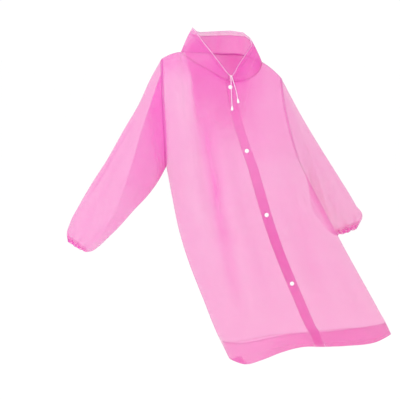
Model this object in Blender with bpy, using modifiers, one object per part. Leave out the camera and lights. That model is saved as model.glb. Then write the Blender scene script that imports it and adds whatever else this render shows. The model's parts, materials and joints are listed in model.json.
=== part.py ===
"""A clear film raincoat with a tall drawstring collar, filled out as it hangs on a wearer, at its real size.

Metres, +Z up. The origin is the middle of the neck opening, where a wearer's neck and shoulders hold the coat.
The front faces -Y, so the wearer's right side is at -X and the wearer's left side is at +X. The skirt swings
to the wearer's left. Every panel is a loft between named stations, given a wall with Solidify."""

import bpy
import numpy as np
from mathutils import Vector

# ---------------------------------------------------------------- driving sizes, in metres
WALL = 0.0012              # the film's wall
SEAM = 0.0003              # room between two pieces
LAYER = WALL + SEAM        # from the middle of one layer to the middle of the next
EDGE = 0.0004              # how far a panel stops short of the line that it shares with its neighbour
SLEEVE_EDGE = 0.0006       # and how far each half of a sleeve does, where the gathers turn it

LAP = 0.036                # width of the front lap, where the two fronts and their facings lie on each other
LAP_RUN = 0.035            # the upper front comes back down to the lower one over this width
HEM = 0.055                # depth of the turned-up hem
HEM_FADE = 0.16            # the hem's dips die out over this height
SKIRT = 0.72               # underarm to hem, down the middle
ROUND = 2.2                # power of the rounded body section: 2 is an ellipse

TIP_RIGHT = (-0.216, -0.008)    # shoulder tips, x and z
TIP_LEFT = (0.215, -0.073)
SHOULDER_RISE = 0.005           # the shoulder seam bows up by this much
SIDE_CURVE = 1.5                # the cloth hangs straight down from the shoulder first, then slants
NECK_MIDDLE = -0.002            # the neck opening's middle, x
NECK_HALF = 0.147               # its half width
NECK_FRONT = 0.100              # its depth forwards and backwards from the shoulder seams
NECK_BACK = 0.085
NECK_SIDE_RIGHT = 0.022         # its height at the two shoulder seams, at the front and at the back
NECK_SIDE_LEFT = -0.015
NECK_LOW = 0.075                # the front neckline's dip under the line of the shoulder seams
NECK_BACK_RISE = 0.009
NECK_CENTRE = 0.030             # x of the front edge at the neck
ARM_DEPTH = 0.065               # half depth of the armhole
ARM_RUN = 0.05                  # the sleeve takes up the armhole's own curve over this length
ARM_ROOM = 0.0011               # room between a sleeve and the armhole
UNDERARM_ROOM = 0.008           # and more of it under the arm, where they meet at a sharp angle

UPPER_ROWS = 10                 # strips of a panel from shoulder to underarm
LOWER_ROWS = 12                 # strips from the underarm to the top of the hem
SHOULDER_COLUMNS = 5            # strips across the shoulder, from the side to the neck's corner
FRONT_RIGHT_COLUMNS = 8         # strips from the neck's corner to the lap
FRONT_LEFT_COLUMNS = 5
BACK_COLUMNS = 7                # strips from each neck corner to the middle of the back
LAP_COLUMN = SHOULDER_COLUMNS + FRONT_RIGHT_COLUMNS    # the front's column at the lap's right edge
GATHERS = 10                    # gathers round each cuff
GATHER_HEIGHT = 0.0035
GATHER_RUN = 0.09               # the gathers die out over this length of sleeve
CUFF_ROWS = (0.090, 0.060, 0.035, 0.018, 0.006, 0.0)   # rings near the cuff, back from its end
ARM_STRIPS = 8                  # strips of a sleeve from the armhole to those rings
COLLAR_BOW = 0.004              # the collar bows out by this much
COLLAR_IN = 0.0008              # the collar's foot lies this far inside the neckline, and this far above it
COLLAR_UP = 0.0013

CORD = 0.0025                   # diameter of the drawstring
SNAP_RADIUS = 0.0075
SNAP_HEIGHTS = (-0.104, -0.333, -0.564, -0.812)
SNAP_ROOM = 0.0005              # room between a snap's flat face and the curved cloth


def table(columns, rows):
    """A short table as one array for each named column."""
    return dict(zip(columns.split(), np.array(rows, float).T))


# The body below the arms: the two side edges, the depth in front and behind, and where the front edge lies.
BODY = table(
    "down  right_x right_z  left_x left_z  front back  middle",
    [
        (0.00, -0.202, -0.393, 0.284, -0.385, 0.118, 0.104, 0.640),
        (0.10, -0.183, -0.495, 0.328, -0.469, 0.116, 0.102, 0.622),
        (0.23, -0.157, -0.622, 0.391, -0.589, 0.112, 0.098, 0.600),
        (0.36, -0.121, -0.735, 0.453, -0.709, 0.110, 0.096, 0.583),
        (0.51, -0.063, -0.880, 0.526, -0.844, 0.110, 0.096, 0.568),
        (0.63, -0.011, -1.007, 0.578, -0.942, 0.112, 0.098, 0.560),
        (0.72, 0.030, -1.095, 0.611, -1.004, 0.114, 0.100, 0.556),
    ],
)
TOP_MIDDLE = 0.568              # the front edge's share of the width at the neck

# How far the hem hangs below the line between its two ends, in front and behind.
HEM_DIP = table(
    "share  front  back",
    [
        (0.00, 0.000, 0.000),
        (0.10, 0.017, -0.004),
        (0.20, 0.010, -0.010),
        (0.32, -0.006, -0.011),
        (0.45, -0.013, -0.001),
        (0.58, -0.001, 0.006),
        (0.72, 0.009, 0.011),
        (0.91, 0.014, 0.014),
        (1.00, 0.000, 0.000),
    ],
)

# The largest folds: each runs down the body along three shares of the width.
FOLDS = table(
    "side  start  end  share_a share_b share_c  width  height",
    [
        (-1, -0.78, 0.62, 0.170, 0.235, 0.120, 0.034, 0.010),
        (-1, -0.55, 0.60, 0.320, 0.300, 0.205, 0.030, -0.011),
        (-1, -0.25, 0.52, 0.430, 0.400, 0.330, 0.036, 0.006),
        (-1, -0.45, 0.40, 0.860, 0.820, 0.800, 0.034, 0.007),
        (-1, 0.05, 0.64, 0.800, 0.760, 0.700, 0.036, -0.008),
        (1, -0.60, 0.60, 0.300, 0.270, 0.200, 0.036, 0.009),
        (1, -0.40, 0.55, 0.480, 0.430, 0.360, 0.034, -0.008),
        (1, -0.55, 0.50, 0.720, 0.700, 0.640, 0.036, 0.008),
        (1, -0.10, 0.64, 0.850, 0.830, 0.800, 0.032, -0.008),
    ],
)

# Sleeve rings: the outer and the inner end of each, the half depth, and the share of the front's crease.
SLEEVE_COLUMNS = "along  out_x out_y out_z  in_x in_y in_z  depth crease"
SLEEVES = {
    "right": table(
        SLEEVE_COLUMNS,
        [
            (0.000, -0.216, 0.000, -0.008, -0.202, 0.000, -0.393, 0.065, 0.10),
            (0.050, -0.254, 0.000, -0.072, -0.215, 0.000, -0.418, 0.068, 0.17),
            (0.123, -0.301, -0.005, -0.165, -0.236, -0.005, -0.454, 0.068, 0.26),
            (0.210, -0.358, -0.012, -0.263, -0.273, -0.012, -0.503, 0.067, 0.43),
            (0.303, -0.417, -0.020, -0.368, -0.320, -0.020, -0.552, 0.066, 0.61),
            (0.388, -0.471, -0.028, -0.452, -0.367, -0.028, -0.605, 0.064, 0.74),
            (0.468, -0.516, -0.034, -0.529, -0.415, -0.034, -0.653, 0.061, 0.84),
            (0.528, -0.549, -0.038, -0.594, -0.451, -0.038, -0.685, 0.056, 0.88),
            (0.565, -0.560, -0.040, -0.642, -0.480, -0.040, -0.700, 0.044, 0.90),
            (0.583, -0.555, -0.040, -0.669, -0.500, -0.040, -0.701, 0.031, 0.90),
        ],
    ),
    "left": table(
        SLEEVE_COLUMNS,
        [
            (0.000, 0.215, 0.000, -0.073, 0.284, 0.000, -0.385, 0.065, 0.12),
            (0.053, 0.249, 0.020, -0.137, 0.307, 0.035, -0.418, 0.067, 0.20),
            (0.115, 0.288, 0.050, -0.208, 0.318, 0.082, -0.460, 0.066, 0.30),
            (0.207, 0.361, 0.090, -0.329, 0.324, 0.120, -0.512, 0.062, 0.45),
            (0.302, 0.435, 0.130, -0.446, 0.336, 0.150, -0.565, 0.058, 0.60),
            (0.385, 0.493, 0.165, -0.542, 0.373, 0.170, -0.614, 0.053, 0.75),
            (0.428, 0.516, 0.185, -0.594, 0.396, 0.185, -0.640, 0.044, 0.85),
            (0.450, 0.503, 0.190, -0.634, 0.430, 0.190, -0.660, 0.031, 0.90),
        ],
    ),
}
CREASE_PULL = 0.35              # how far the sleeve's front leaves the ellipse for the crease's two flats

# The collar's rim: turn is the angle round the neck in degrees, from the front over the wearer's right side.
RIM = table(
    "turn  x  y  z",
    [
        (-12, 0.029, -0.107, -0.064),
        (1, -0.004, -0.101, -0.020),
        (18, -0.036, -0.090, 0.023),
        (39, -0.073, -0.060, 0.069),
        (78, -0.108, -0.014, 0.113),
        (100, -0.100, 0.018, 0.099),
        (129, -0.080, 0.047, 0.094),
        (160, -0.036, 0.074, 0.096),
        (192, 0.029, 0.083, 0.099),
        (225, 0.080, 0.067, 0.092),
        (252, 0.103, 0.036, 0.073),
        (270, 0.107, 0.000, 0.050),
        (295, 0.091, -0.040, 0.026),
        (317, 0.069, -0.076, -0.003),
        (333, 0.050, -0.094, -0.035),
        (347, 0.036, -0.105, -0.062),
    ],
)
COLLAR_STRIPS = 4
MOUTH = 0.25                    # the casing stops at this share of the first strip from each end of the collar
CASING = 0.018                  # depth of the drawstring casing under the rim
CASING_SHARE = 0.8              # and at most this share of the collar's height
CASING_ROWS = table(            # share of the casing's depth, and how far it stands in from the collar
    "depth  stand",
    [
        (0.00, LAYER + 3 * SEAM),
        (0.14, LAYER + CORD + 2 * SEAM),
        (0.36, LAYER + CORD + 6 * SEAM),
        (0.60, LAYER + CORD + 2 * SEAM),
        (1.00, LAYER + 3 * SEAM),
    ],
)
CORD_DEPTH = 0.36               # the drawstring lies at this share of the casing's depth
CORD_STAND = (WALL + CORD) / 2 + 4 * SEAM    # and this far in from the collar

# The drawstring's two free ends: out through the notch between the collar's ends, then down over the top snap.
END_RIGHT = (
    (0.0294, -0.1052, -0.0626),
    (0.0301, -0.1075, -0.0626),
    (0.0304, -0.1098, -0.0632),
    (0.0308, -0.1114, -0.0660),
    (0.0312, -0.1124, -0.0705),
    (0.0316, -0.1138, -0.0800),
    (0.0319, -0.1152, -0.0930),
    (0.0322, -0.1163, -0.1040),
    (0.0328, -0.1164, -0.1180),
    (0.0334, -0.1165, -0.1330),
    (0.0340, -0.1170, -0.1480),
    (0.0346, -0.1182, -0.1610),
    (0.0350, -0.1197, -0.1700),
)
END_LEFT = (
    (0.0335, -0.1048, -0.0634),
    (0.0333, -0.1071, -0.0628),
    (0.0338, -0.1096, -0.0632),
    (0.0346, -0.1113, -0.0660),
    (0.0358, -0.1121, -0.0705),
    (0.0388, -0.1123, -0.0800),
    (0.0428, -0.1123, -0.0930),
    (0.0465, -0.1124, -0.1060),
    (0.0500, -0.1127, -0.1190),
    (0.0532, -0.1137, -0.1330),
    (0.0552, -0.1156, -0.1440),
)
CORD_STEP = 0.0030              # one point for each 3 mm of the free ends
BEAD_LENGTH = 0.018
BEAD_RADIUS = 0.0045
BEAD_SHAPE = table(             # share of the bead's length from its top, and of its radius
    "down  wide",
    [(0.00, 0.30), (0.05, 0.42), (0.25, 0.62), (0.50, 0.86), (0.72, 1.00), (0.90, 0.80), (0.98, 0.45)],
)

# A snap's domed cap, as shares of its radius and heights, and its flat back, as radii and heights.
CAP_SHAPE = ((0.0, 0.0032), (0.30, 0.0031), (0.62, 0.0026), (0.86, 0.0017), (1.0, 0.0006), (0.96, 0.0))
BACK_SHAPE = ((0.0, 0.0015), (0.0055, 0.0015), (0.0060, 0.0010), (0.0060, 0.0), (0.0, 0.0))

CLEAR_PINK = (0.905, 0.115, 0.455, 0.35)
ELASTIC_PINK = (0.90, 0.22, 0.52, 1.0)
WHITE = (0.93, 0.93, 0.93, 1.0)


# ---------------------------------------------------------------- scene and materials
def clear_scene():
    for item in list(bpy.data.objects):
        bpy.data.objects.remove(item, do_unlink=True)


def collection(name):
    made = bpy.data.collections.new(name)
    bpy.context.scene.collection.children.link(made)
    return made


def material(name, colour, roughness):
    made = bpy.data.materials.new(name)
    made.use_nodes = True
    made.diffuse_color = colour
    shader = made.node_tree.nodes["Principled BSDF"]
    shader.inputs["Base Color"].default_value = (*colour[:3], 1.0)
    shader.inputs["Alpha"].default_value = colour[3]
    shader.inputs["Roughness"].default_value = roughness
    shader.inputs["Metallic"].default_value = 0.0
    return made


def add_object(name, data, coat, finish):
    """Links a mesh or a curve as one named piece of the coat."""
    piece = bpy.data.objects.new(name, data)
    data.materials.append(finish)
    coat.objects.link(piece)
    return piece


# ---------------------------------------------------------------- reading the tables
def read(rows, column, at):
    """A column's value at any station, on a smooth cubic through the rows whose slope at each row is central."""
    stations = rows[next(iter(rows))]
    values = rows[column]
    slopes = np.gradient(values, stations)
    at = np.clip(at, stations[0], stations[-1])
    k = np.clip(np.searchsorted(stations, at, side="right") - 1, 0, len(stations) - 2)
    span = stations[k + 1] - stations[k]
    t = (at - stations[k]) / span
    start = (2 * t**3 - 3 * t**2 + 1) * values[k] + (t**3 - 2 * t**2 + t) * span * slopes[k]
    end = (3 * t**2 - 2 * t**3) * values[k + 1] + (t**3 - t**2) * span * slopes[k + 1]
    return start + end


def bump(distance, width):
    """A soft hill of height 1 over a distance from its middle."""
    return np.exp(-((distance / width) ** 2))


# ---------------------------------------------------------------- the body's surface
def neck_height(x, side):
    """Height of the neckline over x: the line of the shoulder seams, with the front's dip or the back's rise."""
    t = (x - NECK_MIDDLE) / NECK_HALF
    line = NECK_SIDE_RIGHT + (NECK_SIDE_LEFT - NECK_SIDE_RIGHT) * (t + 1) / 2
    if side > 0:
        return line + NECK_BACK_RISE * np.clip(1 - t**2, 0, 1)
    right = np.clip((x - NECK_MIDDLE + NECK_HALF) / (NECK_CENTRE - NECK_MIDDLE + NECK_HALF), 0, 1)
    left = np.clip((NECK_MIDDLE + NECK_HALF - x) / (NECK_MIDDLE + NECK_HALF - NECK_CENTRE), 0, 1)
    on_right = 0.85 * right + 0.15 * np.sqrt(1 - (1 - right) ** 2)
    on_left = 0.15 * left + 0.85 * np.sqrt(1 - (1 - left) ** 2)
    return line - NECK_LOW * np.where(x < NECK_CENTRE, on_right, on_left)


def neck_depth(x, side):
    """How far the neckline lies in front of the shoulder seams, or behind them."""
    t = np.clip((x - NECK_MIDDLE) / NECK_HALF, -1, 1)
    return (NECK_BACK if side > 0 else NECK_FRONT) * np.sqrt(1 - t**2)


def top_edge(share, side):
    """x, depth and height of the body's top edge: shoulder seam, neckline, shoulder seam."""
    x = TIP_RIGHT[0] + (TIP_LEFT[0] - TIP_RIGHT[0]) * share
    right_end = NECK_MIDDLE - NECK_HALF
    left_end = NECK_MIDDLE + NECK_HALF
    right = np.clip((x - TIP_RIGHT[0]) / (right_end - TIP_RIGHT[0]), 0, 1)
    left = np.clip((TIP_LEFT[0] - x) / (TIP_LEFT[0] - left_end), 0, 1)
    seam_right = TIP_RIGHT[1] + (NECK_SIDE_RIGHT - TIP_RIGHT[1]) * right
    seam_left = TIP_LEFT[1] + (NECK_SIDE_LEFT - TIP_LEFT[1]) * left
    rise = 4 * SHOULDER_RISE * (right * (1 - right) + left * (1 - left))
    height = np.where(x < right_end, seam_right, np.where(x > left_end, seam_left, neck_height(x, side)))
    return x, neck_depth(x, side), height + rise


def hem_dip(share, side):
    return read(HEM_DIP, "back" if side > 0 else "front", share)


def body(share, down, side):
    """Points of the front (side -1) or the back (side 1). share runs across from the wearer's right side, and
    down is -1 on the shoulder and the neckline, 0 under the arms and SKIRT at the hem. Below the arms a row is a
    rounded half ring between the two side edges. Above them each point runs from the top edge to the underarm
    row, its depth along a quarter circle. At the sides the armhole opens as an oval, which fades towards the
    middle."""
    share, down = np.broadcast_arrays(np.asarray(share, float), np.asarray(down, float))
    below = np.maximum(down, 0.0)
    v = np.clip(down + 1.0, 0.0, 1.0)
    right_x, right_z = read(BODY, "right_x", below), read(BODY, "right_z", below)
    left_x, left_z = read(BODY, "left_x", below), read(BODY, "left_z", below)
    t = np.clip(2 * share - 1, -1, 1)
    ring = (1 - np.abs(t) ** ROUND) ** (1 / ROUND)
    depth = read(BODY, "back" if side > 0 else "front", below) * ring
    x = right_x + (left_x - right_x) * share
    fade = np.clip((below - SKIRT + HEM_FADE) / HEM_FADE, 0, 1) ** 2
    z = right_z + (left_z - right_z) * share - fade * hem_dip(share, side)

    waist = BODY["middle"][0]
    up_share = np.where(
        share < waist,
        share * TOP_MIDDLE / waist,
        1 - (1 - share) * (1 - TOP_MIDDLE) / (1 - waist),
    )
    top_x, top_depth, top_z = top_edge(up_share, side)
    curve = np.sqrt(1 - (1 - v) ** 2)
    hole = np.clip(4 * v * (1 - v), 0, 1) ** (1 - 0.5 * np.abs(t) ** 6)
    power = 1 / ROUND + (1 - 1 / ROUND) * hole
    under = BODY["back" if side > 0 else "front"][0] * (1 - np.abs(t) ** ROUND) ** power
    upper = top_depth * (1 - curve) + under * curve + ARM_DEPTH * hole * t**2
    above = down < 0
    x = np.where(above, top_x + (x - top_x) * v**SIDE_CURVE, x)
    z = np.where(above, top_z + (z - top_z) * v, z)
    depth = np.maximum(np.where(above, upper, depth) + folds(share, down, side), EDGE)
    return np.stack([x, side * depth, z], axis=-1)


def folds(share, down, side):
    """The sum of the soft ridges and troughs that run down one side of the body."""
    width = read(BODY, "left_x", np.maximum(down, 0)) - read(BODY, "right_x", np.maximum(down, 0))
    height = np.zeros_like(share)
    for k in np.flatnonzero(FOLDS["side"] == side):
        start, end = FOLDS["start"][k], FOLDS["end"][k]
        run = np.clip((down - start) / (end - start), 0, 1)
        a, b, c = (FOLDS[name][k] for name in ("share_a", "share_b", "share_c"))
        middle = a * (1 - run) ** 2 + 2 * b * run * (1 - run) + c * run**2
        ends = np.sin(np.pi * run) ** 0.8
        height = height + FOLDS["height"][k] * ends * bump((share - middle) * width, FOLDS["width"][k])
    return height


def rows_down():
    """The down value of every row of a panel, closest at the shoulder and the underarm, with one at the hem's top."""
    turn = np.linspace(0, np.pi, UPPER_ROWS + 1)
    upper = (1 - np.cos(turn)) / 2 - 1
    lower = np.linspace(0, SKIRT - HEM, LOWER_ROWS + 1)[1:]
    return np.concatenate([upper, lower, [SKIRT]])


def lap_share(down):
    """Half the lap's width as a share of the body's width."""
    below = np.maximum(down, 0)
    width = read(BODY, "left_x", below) - read(BODY, "right_x", below)
    return LAP / 2 / width


def columns(corner, across):
    """Shares from the side seam to 1. They are closest at the seam and at the neck's corner, where the cloth turns,
    and from that corner on they stand at even angles round the neck."""
    shoulder = corner * np.linspace(0, 1, SHOULDER_COLUMNS + 1) ** 2
    turn = np.linspace(0, np.pi / 2, across + 1)[1:]
    return np.concatenate([shoulder, corner + (1 - corner) * (1 - np.cos(turn))])


def neck_corners():
    """The neck's two corners, as shares of the top edge from the wearer's right shoulder tip."""
    width = TIP_LEFT[0] - TIP_RIGHT[0]
    return (NECK_MIDDLE - NECK_HALF - TIP_RIGHT[0]) / width, (NECK_MIDDLE + NECK_HALF - TIP_RIGHT[0]) / width


def front_grid():
    """The whole front's points and shares, rows by columns, from the wearer's right side seam to the left one.
    The three columns from LAP_COLUMN on are the lap's right edge, its middle and its left edge."""
    down = rows_down()[:, None]
    middle = read(BODY, "middle", np.maximum(down, 0))
    half = lap_share(down)
    right_corner, left_corner = neck_corners()
    to_right, to_left = middle - half, 1 - middle - half
    corner_right = right_corner * middle[0] / TOP_MIDDLE / to_right[0]
    corner_left = (1 - left_corner) * (1 - middle[0]) / (1 - TOP_MIDDLE) / to_left[0]
    right = columns(corner_right[0], FRONT_RIGHT_COLUMNS) * to_right
    left = 1 - columns(corner_left[0], FRONT_LEFT_COLUMNS) * to_left
    share = np.concatenate([right, middle, left[:, ::-1]], axis=1)
    return body(share, down, -1), share


def back_grid():
    """The back's points, rows by columns, from the wearer's right side seam to the left one."""
    middle = BODY["middle"][0]
    right_corner, left_corner = neck_corners()
    right = columns(right_corner / TOP_MIDDLE, BACK_COLUMNS) * middle
    left = 1 - columns((1 - left_corner) / (1 - TOP_MIDDLE), BACK_COLUMNS) * (1 - middle)
    share = np.concatenate([right, left[-2::-1]])
    return body(share[None, :], rows_down()[:, None], 1)


def outward(points, inside):
    """Unit normals of a grid, turned away from a point inside the coat, or away from a line of such points."""
    normal = np.cross(np.gradient(points, axis=0), np.gradient(points, axis=1))
    normal /= np.linalg.norm(normal, axis=-1, keepdims=True)
    facing = np.sum(normal * (points - inside), axis=-1).mean()
    return normal if facing > 0 else -normal


def inside_of(points):
    """A line of points down the middle of the coat, one for each row."""
    middle = points.mean(axis=1, keepdims=True)
    middle[..., 1] = 0.0
    return middle


def lifted(points, distance):
    """The same points moved out by a distance, along the cloth's own normals."""
    return points + outward(points, inside_of(points)) * np.asarray(distance)[..., None]


# ---------------------------------------------------------------- cloth pieces
def cloth(name, points, coat, finish, closed=False):
    """A grid of points as one walled sheet, or as a tube where its last column joins its first."""
    rows, columns = points.shape[:2]
    index = np.arange(rows * columns).reshape(rows, columns)
    if closed:
        index = np.concatenate([index, index[:, :1]], axis=1)
    corners = (index[:-1, :-1], index[:-1, 1:], index[1:, 1:], index[1:, :-1])
    faces = np.stack(corners, axis=-1).reshape(-1, 4)
    mesh = bpy.data.meshes.new(name)
    mesh.from_pydata(points.reshape(-1, 3).tolist(), [], faces.tolist())
    mesh.shade_smooth()
    piece = add_object(name, mesh, coat, finish)
    wall = piece.modifiers.new("wall", "SOLIDIFY")
    wall.thickness = WALL
    wall.offset = 0.0
    return piece


def make_fronts(coat, film):
    """The two fronts and, in the lap, a facing under each: four layers, one LAYER apart."""
    front, share = front_grid()
    normal = outward(front, inside_of(front))
    below = np.maximum(rows_down(), 0)[:, None]
    width = read(BODY, "left_x", below) - read(BODY, "right_x", below)
    from_lap = (share - share[:, LAP_COLUMN + 2:LAP_COLUMN + 3]) * width
    run = np.clip(1 - from_lap / LAP_RUN, 0, 1)
    upper = front + normal * (2 * LAYER * run**2 * (3 - 2 * run))[..., None]
    right, left, lap = slice(0, LAP_COLUMN + 3), slice(LAP_COLUMN, None), slice(LAP_COLUMN, LAP_COLUMN + 3)
    cloth("front_right", front[:, right], coat, film)
    cloth("front_left", upper[:, left], coat, film)
    cloth("facing_right", (front - normal * LAYER)[:, lap], coat, film)
    cloth("facing_left", (front + normal * LAYER)[:, lap], coat, film)
    return front, upper


def make_hem(coat, film, name, points, columns):
    """The hem's turned-up layer, inside the panel's last two rows, just short of the seams at its two ends."""
    inner = lifted(points, np.full(points.shape[:2], -LAYER))[-2:, columns]
    for end, beside in ((0, 1), (-1, -2)):
        step = inner[:, beside] - inner[:, end]
        inner[:, end] += step / np.linalg.norm(step, axis=-1, keepdims=True) * LAYER
    cloth(name, inner, coat, film)


# ---------------------------------------------------------------- sleeves
def armhole(side, across, turn):
    """The armhole's own line: the body's side edge, down its front for half a turn and up its back."""
    share = 0.0 if side == "right" else 1.0
    front, back = body(share, across - 1, -1), body(share, across - 1, 1)
    edge = np.where((np.sin(turn) > 0)[:, None], front, back)
    edge[np.abs(np.sin(turn)) < 1e-9, 1] = 0.0
    return edge


def sleeve_rings(side, along, inset=0.0, gathered=True):
    """A sleeve's rings at stations along it. Ring 0 lies on the armhole, and each ring runs from its outer end over
    the front to its inner end and back. The front is pulled towards two flats that meet at the crease, and the
    last rings are gathered."""
    rows = SLEEVES[side]
    around = 4 * UPPER_ROWS
    turn = 2 * np.pi * np.arange(around) / around
    across = (1 - np.cos(turn)) / 2
    length = rows["along"][-1]
    hug = ARM_ROOM + UNDERARM_ROOM * across**6
    along = np.asarray(along, float)[:, None]
    along = along + hug * (1 - along / length)

    def ring(at):
        outer = np.stack([read(rows, "out_" + axis, at) for axis in "xyz"], axis=-1)
        inner = np.stack([read(rows, "in_" + axis, at) for axis in "xyz"], axis=-1)
        points = outer + (inner - outer) * across[None, :, None]
        front = np.broadcast_to(np.sin(turn), at.shape)
        crease = read(rows, "crease", at)
        flat = np.minimum(across / crease, (1 - across) / (1 - crease))
        pull = CREASE_PULL * np.clip(at / 0.12, 0, 1)
        points[..., 1] -= read(rows, "depth", at) * np.where(front > 0, front * (1 - pull) + flat * pull, front)
        return points, (outer + inner) / 2

    points, middle = ring(along)
    start, _ = ring(np.zeros_like(along))
    near = np.clip(1 - along / ARM_RUN, 0, 1)[..., None] ** 2
    points += (armhole(side, across, turn) - start) * near
    radial = points - middle
    radial /= np.linalg.norm(radial, axis=-1, keepdims=True)
    strength = np.clip((along - length + GATHER_RUN) / GATHER_RUN, 0, 1) ** 1.5
    wave = np.cos(GATHERS * turn) * GATHER_HEIGHT * strength * gathered
    return points + radial * (wave - inset)[..., None]


def make_sleeve(side, coat, film, stretch):
    """A sleeve's front and back, which meet on its outer line and under the arm, and the elastic that gathers its
    cuff from inside."""
    length = SLEEVES[side]["along"][-1]
    arm = np.linspace(0, length - CUFF_ROWS[0], ARM_STRIPS + 1)
    points = sleeve_rings(side, np.concatenate([arm, length - np.array(CUFF_ROWS[1:])]))
    # Between two of the body's rows the armhole is a chord, so the first ring's odd points lie on it.
    points[0, 1::2] = (points[0, 0::2] + np.roll(points[0, 0::2], -1, axis=0)) / 2
    half = points.shape[1] // 2
    front = points[:, :half + 1].copy()
    back = np.concatenate([points[:, half:], points[:, :1]], axis=1)
    front[:, [0, -1], 1] -= SLEEVE_EDGE
    back[:, [0, -1], 1] += SLEEVE_EDGE
    cloth(f"sleeve_{side}_front", front, coat, film)
    cloth(f"sleeve_{side}_back", back, coat, film)
    band = length - np.array(CUFF_ROWS[3:5])
    ring = sleeve_rings(side, band, inset=GATHER_HEIGHT + WALL + 4 * SEAM, gathered=False)
    cloth("elastic_" + side, ring, coat, stretch, closed=True)


# ---------------------------------------------------------------- collar
def collar_grid(front, back):
    """The collar from the neckline, which is the top row of the panels, up to its rim. Its second column and its
    last but one stand near its two ends, where the casing stops."""
    first = SHOULDER_COLUMNS
    seam_right = front[0, first + 1:LAP_COLUMN + 2][::-1]
    seam_left = front[0, LAP_COLUMN + 1:-first - 1][::-1]
    seam = np.concatenate([seam_right, back[0, first:-first], seam_left])
    for end, beside in ((0, 1), (-1, -2)):
        step = seam[beside] - seam[end]
        seam[end] += step / np.linalg.norm(step) * LAYER
    mouths = [seam[end] + (seam[beside] - seam[end]) * MOUTH for end, beside in ((0, 1), (-1, -2))]
    base = np.concatenate([seam[:1], mouths[:1], seam[1:-1], mouths[1:], seam[-1:]])
    side_x = (base[:, 0] - NECK_MIDDLE) / NECK_HALF
    turn = np.arctan2(-side_x, -base[:, 1] / np.where(base[:, 1] < 0, NECK_FRONT, NECK_BACK))
    turn = np.degrees(np.unwrap(turn))
    base[:, :2] *= 1 - COLLAR_IN / np.linalg.norm(base[:, :2], axis=-1, keepdims=True)
    base[:, 2] += COLLAR_UP
    rim = np.stack([np.interp(turn, RIM["turn"], RIM[axis]) for axis in "xyz"], axis=-1)
    up = np.linspace(0, 1, COLLAR_STRIPS + 1)[:, None, None]
    points = base + (rim - base) * up
    radial = points - np.array([NECK_MIDDLE, 0.0, 0.0])
    radial[..., 2] = 0
    radial /= np.linalg.norm(radial, axis=-1, keepdims=True)
    return points + radial * COLLAR_BOW * np.sin(np.pi * up)


def on_collar(grid, depth, inside):
    """For each column but the two ends, the point on the collar a share of the casing's depth below its rim, moved
    in by a distance. The casing is shallower where the collar is low."""
    height = np.linalg.norm(grid[-1] - grid[0], axis=-1)
    below_rim = depth * np.minimum(CASING / height, CASING_SHARE)
    place = (1 - below_rim) * (len(grid) - 1)
    k = np.clip(place.astype(int), 0, len(grid) - 2)
    t = (place - k)[:, None]
    column = np.arange(grid.shape[1])
    point = grid[k, column] * (1 - t) + grid[k + 1, column] * t
    normal = outward(grid, np.array([NECK_MIDDLE, 0.0, 0.0])).mean(axis=0)
    normal /= np.linalg.norm(normal, axis=-1, keepdims=True)
    return (point - normal * inside)[1:-1]


def make_collar(grid, coat, film):
    """The collar, and inside its rim the casing for the drawstring."""
    cloth("collar", grid, coat, film)
    rows = [on_collar(grid, depth, stand) for depth, stand in zip(CASING_ROWS["depth"], CASING_ROWS["stand"])]
    cloth("collar_casing", np.stack(rows), coat, film)


# ---------------------------------------------------------------- drawstring
def tube(name, points, coat, finish, diameter=CORD):
    """A cord of round section through a list of points."""
    curve = bpy.data.curves.new(name, "CURVE")
    curve.dimensions = "3D"
    curve.bevel_depth = diameter / 2
    curve.bevel_resolution = 2
    curve.use_fill_caps = True
    spline = curve.splines.new("POLY")
    spline.points.add(len(points) - 1)
    for target, point in zip(spline.points, points):
        target.co = (*point, 1.0)
    return add_object(name, curve, coat, finish)


def smooth_route(points, spacing):
    """A route's own points joined by a smooth cubic, with a point for each spacing along it."""
    points = np.array(points)
    stations = np.concatenate([[0], np.cumsum(np.linalg.norm(np.diff(points, axis=0), axis=1))])
    rows = {"at": stations, "x": points[:, 0], "y": points[:, 1], "z": points[:, 2]}
    at = np.linspace(0, stations[-1], max(2, round(stations[-1] / spacing)) + 1)
    return np.stack([read(rows, axis, at) for axis in "xyz"], axis=-1)


def turned(name, profile, coat, finish, place, axis, steps_round=16):
    """A profile of radius and height turned about its axis, set at a place with its axis along a direction."""
    mesh = bpy.data.meshes.new(name)
    points = [(radius, 0.0, height) for radius, height in profile]
    mesh.from_pydata(points, [(k, k + 1) for k in range(len(points) - 1)], [])
    piece = add_object(name, mesh, coat, finish)
    screw = piece.modifiers.new("turn", "SCREW")
    screw.steps = screw.render_steps = steps_round
    screw.use_merge_vertices = True
    screw.merge_threshold = 0.00002
    screw.use_smooth_shade = True
    piece.rotation_mode = "QUATERNION"
    piece.rotation_quaternion = Vector((0, 0, 1)).rotation_difference(Vector(axis))
    piece.location = Vector(place)
    return piece


def make_drawstring(grid, coat, white):
    """The cord through the casing, its two free ends, and a bead on each. A free end starts face to face with the
    cord's own end, at the casing's mouth."""
    run = on_collar(grid, CORD_DEPTH, CORD_STAND)
    tube("drawstring", run, coat, white)
    ends = (("right", run[0], run[1], END_RIGHT), ("left", run[-1], run[-2], END_LEFT))
    for name, mouth, before, route in ends:
        out = (mouth - before) / np.linalg.norm(mouth - before)
        free = smooth_route([mouth + out * (SEAM + CORD / 2), *route], CORD_STEP)
        points = np.concatenate([[mouth + out * SEAM], free])
        tube("cord_end_" + name, points, coat, white)
        axis = points[-1] - points[-2]
        axis = axis / np.linalg.norm(axis)
        profile = [(0.0, 0.0)]
        profile += [(BEAD_RADIUS * w, -BEAD_LENGTH * d) for d, w in zip(BEAD_SHAPE["down"], BEAD_SHAPE["wide"])]
        profile += [(0.0, -BEAD_LENGTH)]
        turned("bead_" + name, profile, coat, white, points[-1] + axis * SEAM, -axis)


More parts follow.
